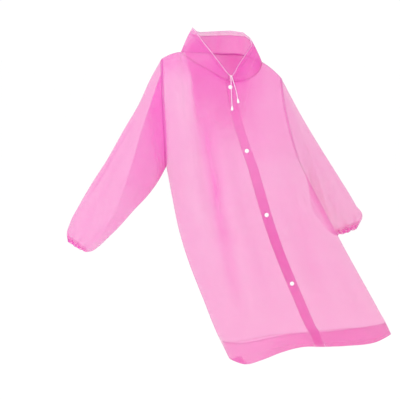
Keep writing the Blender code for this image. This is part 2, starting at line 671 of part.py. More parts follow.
# ---------------------------------------------------------------- snaps
def make_snaps(coat, white, under, upper):
    """Four snaps down the lap: a domed cap outside the upper front, and a flat back inside the lower facing."""
    column = LAP_COLUMN + 1
    out = outward(upper, inside_of(upper))[:, column]
    line, inner_line = upper[:, column], under[:, column]
    for number, height in enumerate(SNAP_HEIGHTS, 1):
        row = np.interp(-height, -line[:, 2], np.arange(len(line)))
        k = min(int(row), len(line) - 2)
        t = row - k
        normal = out[k] * (1 - t) + out[k + 1] * t
        normal /= np.linalg.norm(normal)
        face = line[k] * (1 - t) + line[k + 1] * t
        cap = [(share * SNAP_RADIUS, rise) for share, rise in CAP_SHAPE] + [(0.0, 0.0)]
        turned(f"snap_cap_{number}", cap, coat, white, face + normal * (WALL / 2 + SNAP_ROOM), normal)
        inner = inner_line[k] * (1 - t) + inner_line[k + 1] * t
        place = inner - normal * (LAYER + WALL / 2 + SNAP_ROOM + BACK_SHAPE[0][1])
        turned(f"snap_back_{number}", BACK_SHAPE, coat, white, place, normal)


def main():
    clear_scene()
    coat = collection("clear_raincoat")
    film = material("clear_pink_film", CLEAR_PINK, 0.30)
    stretch = material("pink_elastic", ELASTIC_PINK, 0.55)
    white = material("white_plastic", WHITE, 0.45)
    front, upper = make_fronts(coat, film)
    back = back_grid()
    cloth("back", back, coat, film)
    make_hem(coat, film, "hem_right", front, slice(0, LAP_COLUMN + 1))
    make_hem(coat, film, "hem_left", upper, slice(LAP_COLUMN + 2, None))
    make_hem(coat, film, "hem_back", back, slice(0, None))
    for side in ("right", "left"):
        make_sleeve(side, coat, film, stretch)
    collar = collar_grid(front, back)
    make_collar(collar, coat, film)
    make_drawstring(collar, coat, white)
    make_snaps(coat, white, front, upper)


main()
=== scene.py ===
# %% [markdown]
# # A clear film raincoat, filled out with no wearer
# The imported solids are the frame: they say where each piece of the coat is. Everything that shows is made
# again here, finer and thinner, as surfaces worked out with numpy. All sizes are in metres. The origin is
# the middle of the neck opening, the coat's front faces -Y, and the wearer's right side is at -X.

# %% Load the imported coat
import json
import bpy
import numpy as np
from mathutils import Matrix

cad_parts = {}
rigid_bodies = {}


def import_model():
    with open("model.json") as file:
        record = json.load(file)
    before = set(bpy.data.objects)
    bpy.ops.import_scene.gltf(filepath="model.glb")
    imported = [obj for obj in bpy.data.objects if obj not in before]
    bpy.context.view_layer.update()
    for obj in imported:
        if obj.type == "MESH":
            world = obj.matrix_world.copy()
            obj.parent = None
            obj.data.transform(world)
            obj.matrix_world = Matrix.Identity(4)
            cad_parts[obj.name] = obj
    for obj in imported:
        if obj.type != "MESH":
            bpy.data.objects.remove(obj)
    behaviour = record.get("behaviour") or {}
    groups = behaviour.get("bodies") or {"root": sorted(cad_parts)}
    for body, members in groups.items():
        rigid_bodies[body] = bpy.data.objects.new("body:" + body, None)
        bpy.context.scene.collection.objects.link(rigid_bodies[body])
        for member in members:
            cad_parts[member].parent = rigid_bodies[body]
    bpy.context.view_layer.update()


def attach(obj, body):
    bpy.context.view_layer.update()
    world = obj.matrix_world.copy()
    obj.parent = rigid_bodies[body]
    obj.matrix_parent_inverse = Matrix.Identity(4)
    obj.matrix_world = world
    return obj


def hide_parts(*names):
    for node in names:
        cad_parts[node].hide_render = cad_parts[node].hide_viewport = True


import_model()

# %% [markdown]
# ## Camera
# The coat is seen from straight in front and hardly from above, from far away, so that its sides stay
# parallel. A long lens 12 m away gives that. The camera comes first, because every piece is judged through
# it.

# %% Camera
CAMERA_PLACE = (-0.08, -11.9836, 0.1120)
CAMERA_TILT = 87.0              # degrees from looking straight down
CAMERA_LENS = 297.0             # millimetres, on a sensor 36 mm wide

camera_data = bpy.data.cameras.new("camera")
camera_data.lens = CAMERA_LENS
camera_data.sensor_width = 36.0
camera_data.clip_end = 400.0
camera = bpy.data.objects.new("camera", camera_data)
camera.location = CAMERA_PLACE
camera.rotation_euler = (np.radians(CAMERA_TILT), 0.0, 0.0)
bpy.context.scene.collection.objects.link(camera)
bpy.context.scene.camera = camera


def seen(points):
    """Where the lines of sight through some points meet the plane y = 0: camera + (point - camera) * a
    ratio of depths. It tells which points of two layers lie behind each other in the picture."""
    place = np.array(CAMERA_PLACE)
    return place + (points - place) * (-place[1] / (points[..., 1:2] - place[1]))


print("camera at", CAMERA_PLACE)

# %% [markdown]
# ## Reading a table
# A garment is drafted from a few named measures, so its form is kept in short tables with named columns. A
# smooth cubic through the rows gives every measure in between, as a pattern cutter's curve does.

# %% Tables and soft steps
def table(columns, rows):
    """A short table as one array for each named column."""
    return dict(zip(columns.split(), np.array(rows, float).T))


def read(rows, column, at):
    """A column's value at any station: between two rows, the cubic that starts and ends with the rows'
    own slopes, each of which is the mean slope of the spans beside it."""
    stations = rows[next(iter(rows))]
    values = rows[column]
    slopes = np.gradient(values, stations)
    at = np.clip(at, stations[0], stations[-1])
    k = np.clip(np.searchsorted(stations, at, side="right") - 1, 0, len(stations) - 2)
    span = stations[k + 1] - stations[k]
    t = (at - stations[k]) / span
    start = (2 * t**3 - 3 * t**2 + 1) * values[k] + (t**3 - 2 * t**2 + t) * span * slopes[k]
    end = (3 * t**2 - 2 * t**3) * values[k + 1] + (t**3 - t**2) * span * slopes[k + 1]
    return start + end


def rows_where(rows, column, value):
    """The rows of a table where one column has a given value, each with its number."""
    for k in np.flatnonzero(rows[column] == value):
        yield k, {name: values[k] for name, values in rows.items()}


def bump(distance, width):
    """A soft hill of height 1: e to the power of minus the square of distance over width."""
    return np.exp(-((distance / width) ** 2))


def step(value, low, high):
    """0 below low and 1 above high, with a smooth S in between: t squared times (3 - 2t)."""
    t = np.clip((value - low) / (high - low), 0, 1)
    return t * t * (3 - 2 * t)


# %% [markdown]
# ## Cords first: a tube along a path
# The drawstring's two ends hang out of the collar over the top snap, each with a bead. A cord is a circle
# carried along a path. Its two side directions come from the path's own direction and one fixed vector that
# the path never meets, so the tube never twists or pinches.

# %% A mesh from points and faces, and a tube along a path
def add_mesh(name, points, faces, uv):
    """One mesh object at the origin, with its place in its points, and one UV corner for each face corner."""
    mesh = bpy.data.meshes.new(name)
    mesh.from_pydata(points.reshape(-1, 3).tolist(), [], faces)
    mesh.shade_smooth()
    layer = mesh.uv_layers.new(name="cut")
    layer.data.foreach_set("uv", uv.astype(np.float32).ravel())
    piece = bpy.data.objects.new(name, mesh)
    bpy.context.scene.collection.objects.link(piece)
    return piece


def corners(grid):
    """The four corners of every cell of a grid, in one turning order."""
    cells = (grid[:-1, :-1], grid[:-1, 1:], grid[1:, 1:], grid[1:, :-1])
    return np.stack(cells, axis=-2 if grid.ndim == 3 else -1).reshape(-1, 4, *grid.shape[2:])


def run_along(points, axis):
    """The length from a grid's first row or column to each point, summed from point to point."""
    lengths = np.linalg.norm(np.diff(points, axis=axis), axis=-1)
    first = np.zeros_like(np.take(lengths, [0], axis=axis))
    return np.cumsum(np.concatenate([first, lengths], axis=axis), axis=axis)


def tube(name, path, diameter, beside, around=14):
    """A round cord: path + radius * (cos a * side + sin a * up), where side = path's direction x beside
    and up = side x direction. Each end is closed with a fan round its middle point."""
    along = np.gradient(path, axis=0)
    along /= np.linalg.norm(along, axis=1, keepdims=True)
    side = np.cross(along, beside)
    side /= np.linalg.norm(side, axis=1, keepdims=True)
    up = np.cross(side, along)
    turn = 2 * np.pi * np.arange(around) / around
    ring = np.cos(turn)[None, :, None] * side[:, None] + np.sin(turn)[None, :, None] * up[:, None]
    points = path[:, None] + diameter / 2 * ring
    count = len(path)
    index = np.arange(count * around).reshape(count, around)
    index = np.concatenate([index, index[:, :1]], axis=1)
    far = run_along(path[:, None], 0)
    uv = np.stack(np.broadcast_arrays(np.arange(around + 1) / around, far), axis=-1)
    walls = corners(index)[:, ::-1]
    start, end = index[0], index[-1, ::-1]
    fans = [np.stack([edge[:-1], edge[1:], np.full(around, middle)], axis=1)
            for edge, middle in ((start, count * around), (end, count * around + 1))]
    every = np.concatenate([points.reshape(-1, 3), path[[0, -1]]])
    flat = np.zeros((2 * around * 3, 2))
    faces = walls.tolist() + np.concatenate(fans).tolist()
    return add_mesh(name, every, faces, np.concatenate([corners(uv)[:, ::-1].reshape(-1, 2), flat]))


# %% The free ends of the drawstring
CORD = 0.0025                   # diameter
SEAM = 0.0003                   # room between two pieces
MOUTH_ROOM = 0.0014             # and between the two stretches of the cord, which meet at an angle
MOUTH_RIGHT = np.array((0.02615, -0.10398, -0.06081))       # where the cord leaves the collar's casing
BEFORE_RIGHT = np.array((0.01594, -0.10280, -0.05090))      # and a point inside the casing before it
MOUTH_LEFT = np.array((0.03648, -0.10185, -0.06206))
BEFORE_LEFT = np.array((0.04400, -0.09781, -0.05452))
END_RIGHT = (
    (0.0294, -0.1052, -0.0626), (0.0301, -0.1075, -0.0626), (0.0304, -0.1098, -0.0632),
    (0.0308, -0.1114, -0.0660), (0.0312, -0.1124, -0.0705), (0.0316, -0.1138, -0.0800),
    (0.0319, -0.1152, -0.0930), (0.0322, -0.1163, -0.1040), (0.0328, -0.1164, -0.1180),
    (0.0334, -0.1165, -0.1330), (0.0340, -0.1170, -0.1480), (0.0346, -0.1182, -0.1610),
    (0.0350, -0.1197, -0.1700),
)
END_LEFT = (
    (0.0335, -0.1048, -0.0634), (0.0333, -0.1071, -0.0628), (0.0338, -0.1096, -0.0632),
    (0.0346, -0.1113, -0.0660), (0.0358, -0.1121, -0.0705), (0.0388, -0.1123, -0.0800),
    (0.0428, -0.1123, -0.0930), (0.0465, -0.1124, -0.1060), (0.0500, -0.1127, -0.1190),
    (0.0532, -0.1137, -0.1330), (0.0552, -0.1156, -0.1440),
)
CORD_STEP = 0.0015              # one ring of the tube for each 1.5 mm


def smooth_route(points, spacing):
    """A route's own points joined by the smooth cubic of read(), with a point for each spacing along it."""
    points = np.array(points)
    stations = run_along(points[:, None], 0)[:, 0]
    rows = {"at": stations, "x": points[:, 0], "y": points[:, 1], "z": points[:, 2]}
    at = np.linspace(0, stations[-1], round(stations[-1] / spacing) + 1)
    return np.stack([read(rows, axis, at) for axis in "xyz"], axis=-1)


def cord_end(side, mouth, before, route):
    """A free end: it leaves the casing in the cord's own direction and then follows its route."""
    out = (mouth - before) / np.linalg.norm(mouth - before)
    path = smooth_route([mouth + out * MOUTH_ROOM, mouth + out * (MOUTH_ROOM + CORD / 3), *route], CORD_STEP)
    piece = tube(f"hanging_cord_{side}", path, CORD, beside=(1.0, 0.0, 0.0))
    length = float(run_along(path[:, None], 0)[-1, 0])
    print(f"cord end {side}: {length * 1000:.0f} mm")
    return piece, path, length


cord_ends = {
    "right": cord_end("right", MOUTH_RIGHT, BEFORE_RIGHT, END_RIGHT),
    "left": cord_end("left", MOUTH_LEFT, BEFORE_LEFT, END_LEFT),
}

# %% [markdown]
# ## Beads and other turned pieces
# The beads and the snaps are turned forms: a profile of radius and height carried round an axis. Only the
# profile is drawn, so a dimple or a groove costs one more point of it.

# %% A profile turned round an axis
def turned(name, radii, heights, place, axis, around=40):
    """place + radius * (cos a * side + sin a * up) + height * axis, for the profile's points and every
    angle a. The first and the last point of the profile lie on the axis, as one point each, with a fan of
    faces round it. The profile runs against the axis, from its far end back to its near one, which turns
    the faces outwards."""
    axis = np.array(axis) / np.linalg.norm(axis)
    side = np.cross(axis, (1.0, 0.0, 0.0) if abs(axis[0]) < 0.8 else (0.0, 1.0, 0.0))
    side /= np.linalg.norm(side)
    up = np.cross(axis, side)
    radii, heights = np.array(radii, float), np.array(heights, float)
    turn = 2 * np.pi * np.arange(around) / around
    ring = np.cos(turn)[:, None] * side + np.sin(turn)[:, None] * up
    rings = radii[1:-1, None, None] * ring + heights[1:-1, None, None] * axis
    poles = heights[[0, -1], None] * axis
    points = np.concatenate([rings.reshape(-1, 3), poles]) + place
    index = np.arange(rings.shape[0] * around).reshape(-1, around)
    index = np.concatenate([index, index[:, :1]], axis=1)
    last = len(points)
    first_fan = np.stack([index[0, 1:], index[0, :-1], np.full(around, last - 2)], axis=1)
    last_fan = np.stack([index[-1, :-1], index[-1, 1:], np.full(around, last - 1)], axis=1)
    profile = np.concatenate([[0], np.cumsum(np.hypot(np.diff(radii), np.diff(heights)))])
    uv = np.stack(np.broadcast_arrays(np.arange(around + 1) / around, profile[1:-1, None]), axis=-1)
    flat = np.zeros((2 * around * 3, 2))
    faces = corners(index)[:, ::-1].tolist() + np.concatenate([first_fan, last_fan])[:, ::-1].tolist()
    return add_mesh(name, points, faces, np.concatenate([corners(uv)[:, ::-1].reshape(-1, 2), flat]))


def rounded(profile, times=2):
    """A profile with its corners cut: each pass puts two points on every side, a quarter in from its ends."""
    points = np.array(profile, float)
    for _ in range(times):
        near = 0.75 * points[:-1] + 0.25 * points[1:]
        far = 0.25 * points[:-1] + 0.75 * points[1:]
        inner = np.stack([near, far], axis=1).reshape(-1, 2)
        points = np.concatenate([points[:1], inner[1:-1], points[-1:]])
    return points[:, 0], points[:, 1]


# %% The two beads
BEAD_LENGTH = 0.018
BEAD_RADIUS = 0.0045
BEAD_SHAPE = table(             # share of the bead's length from its top, and of its radius
    "down  wide",
    [
        (0.00, 0.00), (0.00, 0.34), (0.06, 0.42), (0.12, 0.40), (0.14, 0.48), (0.25, 0.62), (0.50, 0.86),
        (0.72, 1.00), (0.88, 0.88), (0.97, 0.52), (1.00, 0.30), (0.97, 0.18), (0.96, 0.00),
    ],
)

beads = {}
for side, (cord, path, length) in cord_ends.items():
    along = path[-1] - path[-2]
    along /= np.linalg.norm(along)
    shape = np.stack([BEAD_RADIUS * BEAD_SHAPE["wide"], BEAD_LENGTH * BEAD_SHAPE["down"]], axis=1)
    beads[side] = turned(f"cord_bead_{side}", *rounded(shape[::-1]), path[-1] + along * SEAM, along)
print("beads:", sorted(beads))

# %% [markdown]
# ## The body's measures
# Below the arms the body is a rounded ring between its two side edges. The skirt swings to the wearer's
# left, so both edges slant. Above the arms the cloth runs up to the shoulder seams and the neckline. The
# measures are the side edges in x and z, the depth in front and behind, and where the front edge lies
# across the width.

# %% Measures of the body
FILM = 0.0006                   # wall of the film as shown
LAYER = 0.0015                  # from the middle of one layer to the middle of the next
EDGE = 0.0002                   # how far a panel stops short of the line that it shares with its neighbour
LAP = 0.036                     # width of the front lap
LAP_RUN = 0.035                 # the upper front comes back down to the lower one over this width
HEM = 0.055                     # depth of the turned-up hem
HEM_FADE = 0.16                 # the hem's dips die out over this height
SKIRT = 0.72                    # underarm to hem, down the middle
ROUND = 2.2                     # power of the rounded body section: 2 is an ellipse

TIP_RIGHT = (-0.220, -0.004)    # shoulder tips, x and z
TIP_LEFT = (0.215, -0.073)
SHOULDER_RISE = 0.005           # the shoulder seam bows up by this much
SIDE_CURVE = 1.5                # the cloth hangs straight down from the shoulder first, then slants
NECK_MIDDLE = -0.002            # the neck opening's middle, x, and its half width
NECK_HALF = 0.147
NECK_FRONT = 0.100              # its depth forwards and backwards from the shoulder seams
NECK_BACK = 0.085
NECK_SIDE_RIGHT = 0.022         # its height at the two shoulder seams, at the front and at the back
NECK_SIDE_LEFT = -0.015
NECK_LOW = 0.085
NECK_BACK_RISE = 0.009
NECK_BACK_LEVEL = 0.013         # the back's neckline is drawn up on the wearer's left, so its middle is level
NECK_CENTRE = 0.030             # x of the front edge at the neck
ARM_DEPTH = 0.065               # half depth of the armhole
TOP_MIDDLE = 0.568              # the front edge's share of the width at the neck

BODY = table(
    "down  right_x right_z  left_x left_z  front back  middle",
    [
        (0.00, -0.202, -0.393, 0.284, -0.385, 0.118, 0.104, 0.640),
        (0.10, -0.183, -0.495, 0.328, -0.469, 0.116, 0.102, 0.622),
        (0.23, -0.157, -0.622, 0.391, -0.589, 0.112, 0.098, 0.600),
        (0.36, -0.123, -0.735, 0.455, -0.709, 0.110, 0.096, 0.583),
        (0.51, -0.067, -0.880, 0.530, -0.844, 0.110, 0.096, 0.568),
        (0.63, -0.016, -1.007, 0.584, -0.942, 0.112, 0.098, 0.560),
        (0.72, 0.027, -1.095, 0.616, -1.004, 0.114, 0.100, 0.556),
    ],
)
HEM_DIP = table(                # how far the hem hangs below the line between its two ends
    "share  front  back",
    [
        (0.00, 0.000, 0.000), (0.10, 0.023, 0.006), (0.20, 0.014, 0.000), (0.32, -0.004, -0.006),
        (0.45, -0.012, 0.001), (0.58, -0.001, 0.008), (0.72, 0.009, 0.014), (0.91, 0.014, 0.016),
        (1.00, 0.000, 0.000),
    ],
)
HEM_RISE = table(               # how far the top of the front's hem is drawn up: the hem is turned unevenly
    "share  rise", [(0.0, 0.012), (0.2, 0.010), (0.45, 0.010), (0.6, 0.008), (0.8, 0.011), (1.0, 0.004)],
)

# %% [markdown]
# ## The neckline and the shoulder seams
# The top edge of both panels runs from shoulder tip to shoulder tip: a seam, the neckline and a seam. In
# front the neckline dips to the V. It is curved on the wearer's left and nearly straight on the right, as
# shown.

# %% The top edge
def neck_height(x, side):
    """Height of the neckline over x: the straight line between the shoulder seams, less the front's dip,
    which is a mix of a straight and a quarter-round slope on each side of the V, or with the back's low
    arch."""
    t = (x - NECK_MIDDLE) / NECK_HALF
    line = NECK_SIDE_RIGHT + (NECK_SIDE_LEFT - NECK_SIDE_RIGHT) * (t + 1) / 2
    if side > 0:
        arch = np.clip(1 - t**2, 0, 1)
        return line + NECK_BACK_RISE * arch + NECK_BACK_LEVEL * bump(t - 0.55, 0.42) * arch**0.5
    right = np.clip((x - NECK_MIDDLE + NECK_HALF) / (NECK_CENTRE - NECK_MIDDLE + NECK_HALF), 0, 1)
    left = np.clip((NECK_MIDDLE + NECK_HALF - x) / (NECK_MIDDLE + NECK_HALF - NECK_CENTRE), 0, 1)
    on_right = 0.85 * right + 0.15 * np.sqrt(1 - (1 - right) ** 2)
    on_left = 0.15 * left + 0.85 * np.sqrt(1 - (1 - left) ** 2)
    return line - NECK_LOW * np.where(x < NECK_CENTRE, on_right, on_left)


def top_edge(share, side):
    """x, depth and height of the panels' top edge. Each shoulder seam is a straight line with a
    parabola's rise, and the neckline's depth is half an ellipse."""
    x = TIP_RIGHT[0] + (TIP_LEFT[0] - TIP_RIGHT[0]) * share
    right_end, left_end = NECK_MIDDLE - NECK_HALF, NECK_MIDDLE + NECK_HALF
    right = np.clip((x - TIP_RIGHT[0]) / (right_end - TIP_RIGHT[0]), 0, 1)
    left = np.clip((TIP_LEFT[0] - x) / (TIP_LEFT[0] - left_end), 0, 1)
    seam_right = TIP_RIGHT[1] + (NECK_SIDE_RIGHT - TIP_RIGHT[1]) * right
    seam_left = TIP_LEFT[1] + (NECK_SIDE_LEFT - TIP_LEFT[1]) * left
    rise = 4 * SHOULDER_RISE * (right * (1 - right) + left * (1 - left))
    height = np.where(x < right_end, seam_right, np.where(x > left_end, seam_left, neck_height(x, side)))
    t = np.clip((x - NECK_MIDDLE) / NECK_HALF, -1, 1)
    depth = (NECK_BACK if side > 0 else NECK_FRONT) * np.sqrt(1 - t**2)
    return x, depth, height + rise


# %% [markdown]
# ## Folds and creases
# Film keeps the lines it was folded on, so the coat has two kinds of relief. Broad folds hang from the
# chest to the skirt. Over them lie the narrower creases, placed from what the photograph shows, with similar
# ones on the back. A simulation would give other folds than these. Each crease is a hill along a curve. Its
# lean makes one side steeper, and its tone is how much darker the film looks there: partly
# film that the crease doubles, partly painted shade in it, and painted light where the value is below 0.

# %% Tables of folds and creases
FOLDS = table(                  # along three shares of the width, from start to end down the body
    "side  start  end  share_a share_b share_c  width  height",
    [
        (-1, -0.78, 0.62, 0.170, 0.235, 0.120, 0.034, 0.010),
        (-1, -0.55, 0.60, 0.320, 0.300, 0.205, 0.030, -0.011),
        (-1, -0.25, 0.52, 0.430, 0.400, 0.330, 0.036, 0.006),
        (-1, -0.45, 0.40, 0.860, 0.820, 0.800, 0.034, 0.007),
        (-1, 0.05, 0.64, 0.800, 0.760, 0.700, 0.036, -0.008),
        (1, -0.60, 0.60, 0.300, 0.270, 0.200, 0.036, 0.009),
        (1, -0.40, 0.55, 0.480, 0.430, 0.360, 0.034, -0.008),
        (1, -0.55, 0.50, 0.720, 0.700, 0.640, 0.036, 0.008),
        (1, -0.10, 0.64, 0.850, 0.830, 0.800, 0.032, -0.008),
    ],
)
# a crease's last but one value darkens the film there, partly for doubled film and partly as painted shade;
# below 0 it lightens it as painted light
CREASES = table(                # from z_top down to z_low, along three x's
    "side  z_top z_low  x_top x_mid x_low  width height  tone lean",
    [
        (-1, -0.040, -0.330, -0.158, -0.150, -0.128, 0.030, 0.0030, -0.25, 0.2),
        (-1, -0.200, -0.860, -0.140, -0.115, -0.010, 0.032, 0.0030, -0.25, 0.1),
        (-1, 0.030, -0.420, -0.107, -0.100, -0.058, 0.012, 0.0020, 0.16, 0.7),
        (-1, -0.200, -0.960, -0.082, -0.040, 0.066, 0.013, 0.0025, 0.18, 0.5),
        (-1, -0.150, -0.960, -0.066, -0.020, 0.072, 0.024, -0.0030, 0.70, 0.2),
        (-1, -0.100, -0.640, -0.078, -0.046, 0.000, 0.018, -0.0018, 0.65, 0.3),
        (-1, -0.330, -0.840, -0.020, 0.030, 0.112, 0.026, 0.0020, -0.10, 0.0),
        (-1, -0.480, -1.010, 0.075, 0.120, 0.225, 0.020, 0.0018, 0.10, -0.4),
        (-1, -0.110, -0.420, 0.085, 0.110, 0.150, 0.030, 0.0022, 0.14, 0.3),
        (-1, -0.430, -0.985, 0.232, 0.300, 0.412, 0.028, -0.0025, 0.20, 0.3),
        (-1, -0.320, -0.700, 0.215, 0.250, 0.345, 0.020, 0.0020, 0.10, -0.5),
        (-1, -0.700, -1.000, 0.400, 0.450, 0.520, 0.022, 0.0018, 0.10, 0.3),
        (1, -0.060, -0.520, -0.110, -0.100, -0.060, 0.026, 0.0030, 0.16, 0.3),
        (1, -0.180, -0.900, 0.010, 0.050, 0.170, 0.022, -0.0030, 0.16, -0.2),
        (1, -0.080, -0.480, 0.120, 0.130, 0.190, 0.024, 0.0025, -0.12, 0.2),
        (1, -0.420, -1.010, 0.190, 0.260, 0.400, 0.026, 0.0028, 0.14, 0.5),
        (1, -0.560, -1.040, 0.020, 0.070, 0.160, 0.020, 0.0022, -0.10, -0.3),
        (1, -0.300, -0.760, -0.100, -0.070, 0.020, 0.024, -0.0022, 0.14, 0.2),
    ],
)
WANDER = 0.004                  # a crease strays from its curve by this much, in a slow wave


def parabola(start, middle, end, run):
    """A curve that leaves start towards middle and reaches end, for a run t from 0 to 1:
    start * (1 - t)^2 + 2 * middle * t * (1 - t) + end * t^2."""
    return start * (1 - run) ** 2 + 2 * middle * run * (1 - run) + end * run**2


def creases(x, z, side):
    """Height and tone of all creases on one side of the body: partly film that a crease
    doubles, partly painted shade, and painted light where the value is below 0. A crease's middle is a
    parabola through its three x's, its profile is a hill whose two flanks differ by its lean, and it fades at
    both ends as half a sine wave."""
    height, tone = np.zeros_like(x), np.zeros_like(x)
    for k, row in rows_where(CREASES, "side", side):
        run = np.clip((row["z_top"] - z) / (row["z_top"] - row["z_low"]), 0, 1)
        middle = parabola(row["x_top"], row["x_mid"], row["x_low"], run)
        off = x - middle - WANDER * np.sin(21 * z + 2.3 * k) * np.sin(np.pi * run)
        flank = row["width"] * np.where(off > 0, 1 + row["lean"], 1 - row["lean"])
        hill = bump(off, flank) * np.sin(np.pi * run) ** 1.3 * (0.85 + 0.15 * np.sin(34 * z + 1.1 * k))
        height += row["height"] * hill
        tone += row["tone"] * hill
    return height, tone


# %% [markdown]
# ## The body's surface
# One function gives a point of the front or the back for a share across and a distance down. Its two
# parameters are the film's own directions, so a row of points is a level line of the cloth and a column
# runs down its grain.

# %% The surface of the front and the back
def folds(share, down, side):
    """The sum of the broad folds: each is a hill across the width, along a parabola through three shares,
    and it fades at both ends as a power of half a sine wave."""
    width = read(BODY, "left_x", np.maximum(down, 0)) - read(BODY, "right_x", np.maximum(down, 0))
    height = np.zeros_like(share)
    for _, row in rows_where(FOLDS, "side", side):
        run = np.clip((down - row["start"]) / (row["end"] - row["start"]), 0, 1)
        middle = parabola(row["share_a"], row["share_b"], row["share_c"], run)
        height += row["height"] * np.sin(np.pi * run) ** 1.5 * bump((share - middle) * width, row["width"])
    return height


def body(share, down, side):
    """Points of the front (side -1) or the back (side 1). share runs across from the wearer's right, and
    down is -1 on the top edge, 0 under the arms and SKIRT at the hem. Below the arms depth is that of a
    superellipse between the side edges. Above them a point goes from the top edge to the underarm row
    while its depth follows a quarter circle, and the armhole opens as an oval that fades towards the
    middle. Folds and creases come on top, and die out at the side seams and the top edge."""
    share, down = np.broadcast_arrays(np.asarray(share, float), np.asarray(down, float))
    below = np.maximum(down, 0.0)
    v = np.clip(down + 1.0, 0.0, 1.0)
    right_x, right_z = read(BODY, "right_x", below), read(BODY, "right_z", below)
    left_x, left_z = read(BODY, "left_x", below), read(BODY, "left_z", below)
    t = np.clip(2 * share - 1, -1, 1)
    ring = (1 - np.abs(t) ** ROUND) ** (1 / ROUND)
    depth = read(BODY, "back" if side > 0 else "front", below) * ring
    x = right_x + (left_x - right_x) * share
    fade = np.clip((below - SKIRT + HEM_FADE) / HEM_FADE, 0, 1) ** 2
    z = right_z + (left_z - right_z) * share - fade * read(HEM_DIP, "back" if side > 0 else "front", share)
    if side < 0:
        z += read(HEM_RISE, "rise", share) * bump(below - SKIRT + HEM, 0.026)

    waist = BODY["middle"][0]
    on_left = 1 - (1 - share) * (1 - TOP_MIDDLE) / (1 - waist)
    top_x, top_depth, top_z = top_edge(np.where(share < waist, share * TOP_MIDDLE / waist, on_left), side)
    curve = np.sqrt(1 - (1 - v) ** 2)
    hole = np.clip(4 * v * (1 - v), 0, 1) ** (1 - 0.5 * np.abs(t) ** 6)
    power = 1 / ROUND + (1 - 1 / ROUND) * hole
    under = BODY["back" if side > 0 else "front"][0] * (1 - np.abs(t) ** ROUND) ** power
    upper = top_depth * (1 - curve) + under * curve + ARM_DEPTH * hole * t**2
    above = down < 0
    x = np.where(above, top_x + (x - top_x) * v**SIDE_CURVE, x)
    z = np.where(above, top_z + (z - top_z) * v, z)
    inner = step(share, 0, 0.07) * step(1 - share, 0, 0.07) * step(down, -1, -0.86)
    relief = folds(share, down, side) + creases(x, z, side)[0] * inner
    depth = np.maximum(np.where(above, upper, depth) + relief, EDGE)
    return np.stack([x, side * depth, z], axis=-1)


# %% [markdown]
# ## Rows and columns
# A grid is fine where something happens: at the shoulder, under the arm, at the neck's corners, along the
# lap and at the hem's weld. Elsewhere it can be coarse.

# %% Rows and columns of the panels
SHOULDER = 22                   # columns from the side seam to the neck's corner
ACROSS_RIGHT = 62               # and from that corner to the lap, in front
ACROSS_LEFT = 44
ACROSS_LAP = 6
ACROSS_BACK = 46                # and from each corner to the middle of the back
LAP_START = SHOULDER + ACROSS_RIGHT
LAP_CENTRE = LAP_START + ACROSS_LAP // 2
LAP_END = LAP_START + ACROSS_LAP
UPPER, LOWER = 48, 64           # rows above and below the underarm
HEM_WELD = 0.004                # width of the weld along the top of the hem

rows_upper = (1 - np.cos(np.linspace(0, np.pi, UPPER + 1))) / 2 - 1
rows_lower = np.linspace(0, SKIRT - HEM - 2 * HEM_WELD, LOWER + 1)[1:]
rows_weld = SKIRT - HEM + HEM_WELD * np.array([-1.0, -0.5, 0.0, 0.5, 1.0, 1.5])
rows_hem = np.linspace(SKIRT - HEM + 2 * HEM_WELD, SKIRT - 0.004, 17)
rows_down = np.concatenate([rows_upper, rows_lower, rows_weld, rows_hem, [SKIRT - 0.002, SKIRT]])
HEM_ROW = UPPER + LOWER + 3     # the row at the top of the hem


def columns(corner, across):
    """Shares from the side seam to 1: squares up to the neck's corner, so that they are closest at the
    seam, then even angles round the neck, 1 - cos a."""
    shoulder = corner * np.linspace(0, 1, SHOULDER + 1) ** 2
    turn = np.linspace(0, np.pi / 2, across + 1)[1:]
    return np.concatenate([shoulder, corner + (1 - corner) * (1 - np.cos(turn))])


def front_grid():
    """The whole front's points and shares, from the wearer's right side seam over the lap to the left one."""
    down = rows_down[:, None]
    below = np.maximum(down, 0)
    middle = read(BODY, "middle", below)
    half = LAP / 2 / (read(BODY, "left_x", below) - read(BODY, "right_x", below))
    width = TIP_LEFT[0] - TIP_RIGHT[0]
    right_corner = (NECK_MIDDLE - NECK_HALF - TIP_RIGHT[0]) / width
    left_corner = (NECK_MIDDLE + NECK_HALF - TIP_RIGHT[0]) / width
    to_right, to_left = middle - half, 1 - middle - half
    corner_right = right_corner * middle[0] / TOP_MIDDLE / to_right[0]
    corner_left = (1 - left_corner) * (1 - middle[0]) / (1 - TOP_MIDDLE) / to_left[0]
    right = columns(corner_right[0], ACROSS_RIGHT) * to_right
    left = 1 - columns(corner_left[0], ACROSS_LEFT) * to_left
    lap = middle + half * np.linspace(-1, 1, ACROSS_LAP + 1)[1:-1]
    share = np.concatenate([right, lap, left[:, ::-1]], axis=1)
    return body(share, down, -1), share


def back_grid():
    """The back's points, from the wearer's right side seam to the left one."""
    middle = BODY["middle"][0]
    width = TIP_LEFT[0] - TIP_RIGHT[0]
    right_corner = (NECK_MIDDLE - NECK_HALF - TIP_RIGHT[0]) / width
    left_corner = (NECK_MIDDLE + NECK_HALF - TIP_RIGHT[0]) / width
    right = columns(right_corner / TOP_MIDDLE, ACROSS_BACK) * middle
    left = 1 - columns((1 - left_corner) / (1 - TOP_MIDDLE), ACROSS_BACK) * (1 - middle)
    share = np.concatenate([right, left[-2::-1]])
    return body(share[None, :], rows_down[:, None], 1)


front, front_share = front_grid()
back = back_grid()
print("front grid", front.shape[:2], "and back grid", back.shape[:2])

# %% [markdown]
# ## Layers of cloth
# In the lap four layers of film lie on each other: the right front and its facing, and the left front's
# facing and the left front over them. All of them are the same surface moved along its own normals, one
# layer apart, so they never cut each other.

# %% Moving cloth along its normals
def outward(points, inside):
    """Unit normals of a grid, the cross product of its two directions, turned away from points inside the
    coat."""
    normal = np.cross(np.gradient(points, axis=0), np.gradient(points, axis=1))
    normal /= np.linalg.norm(normal, axis=-1, keepdims=True)
    facing = np.sum(normal * (points - inside), axis=-1).mean()
    return normal if facing > 0 else -normal


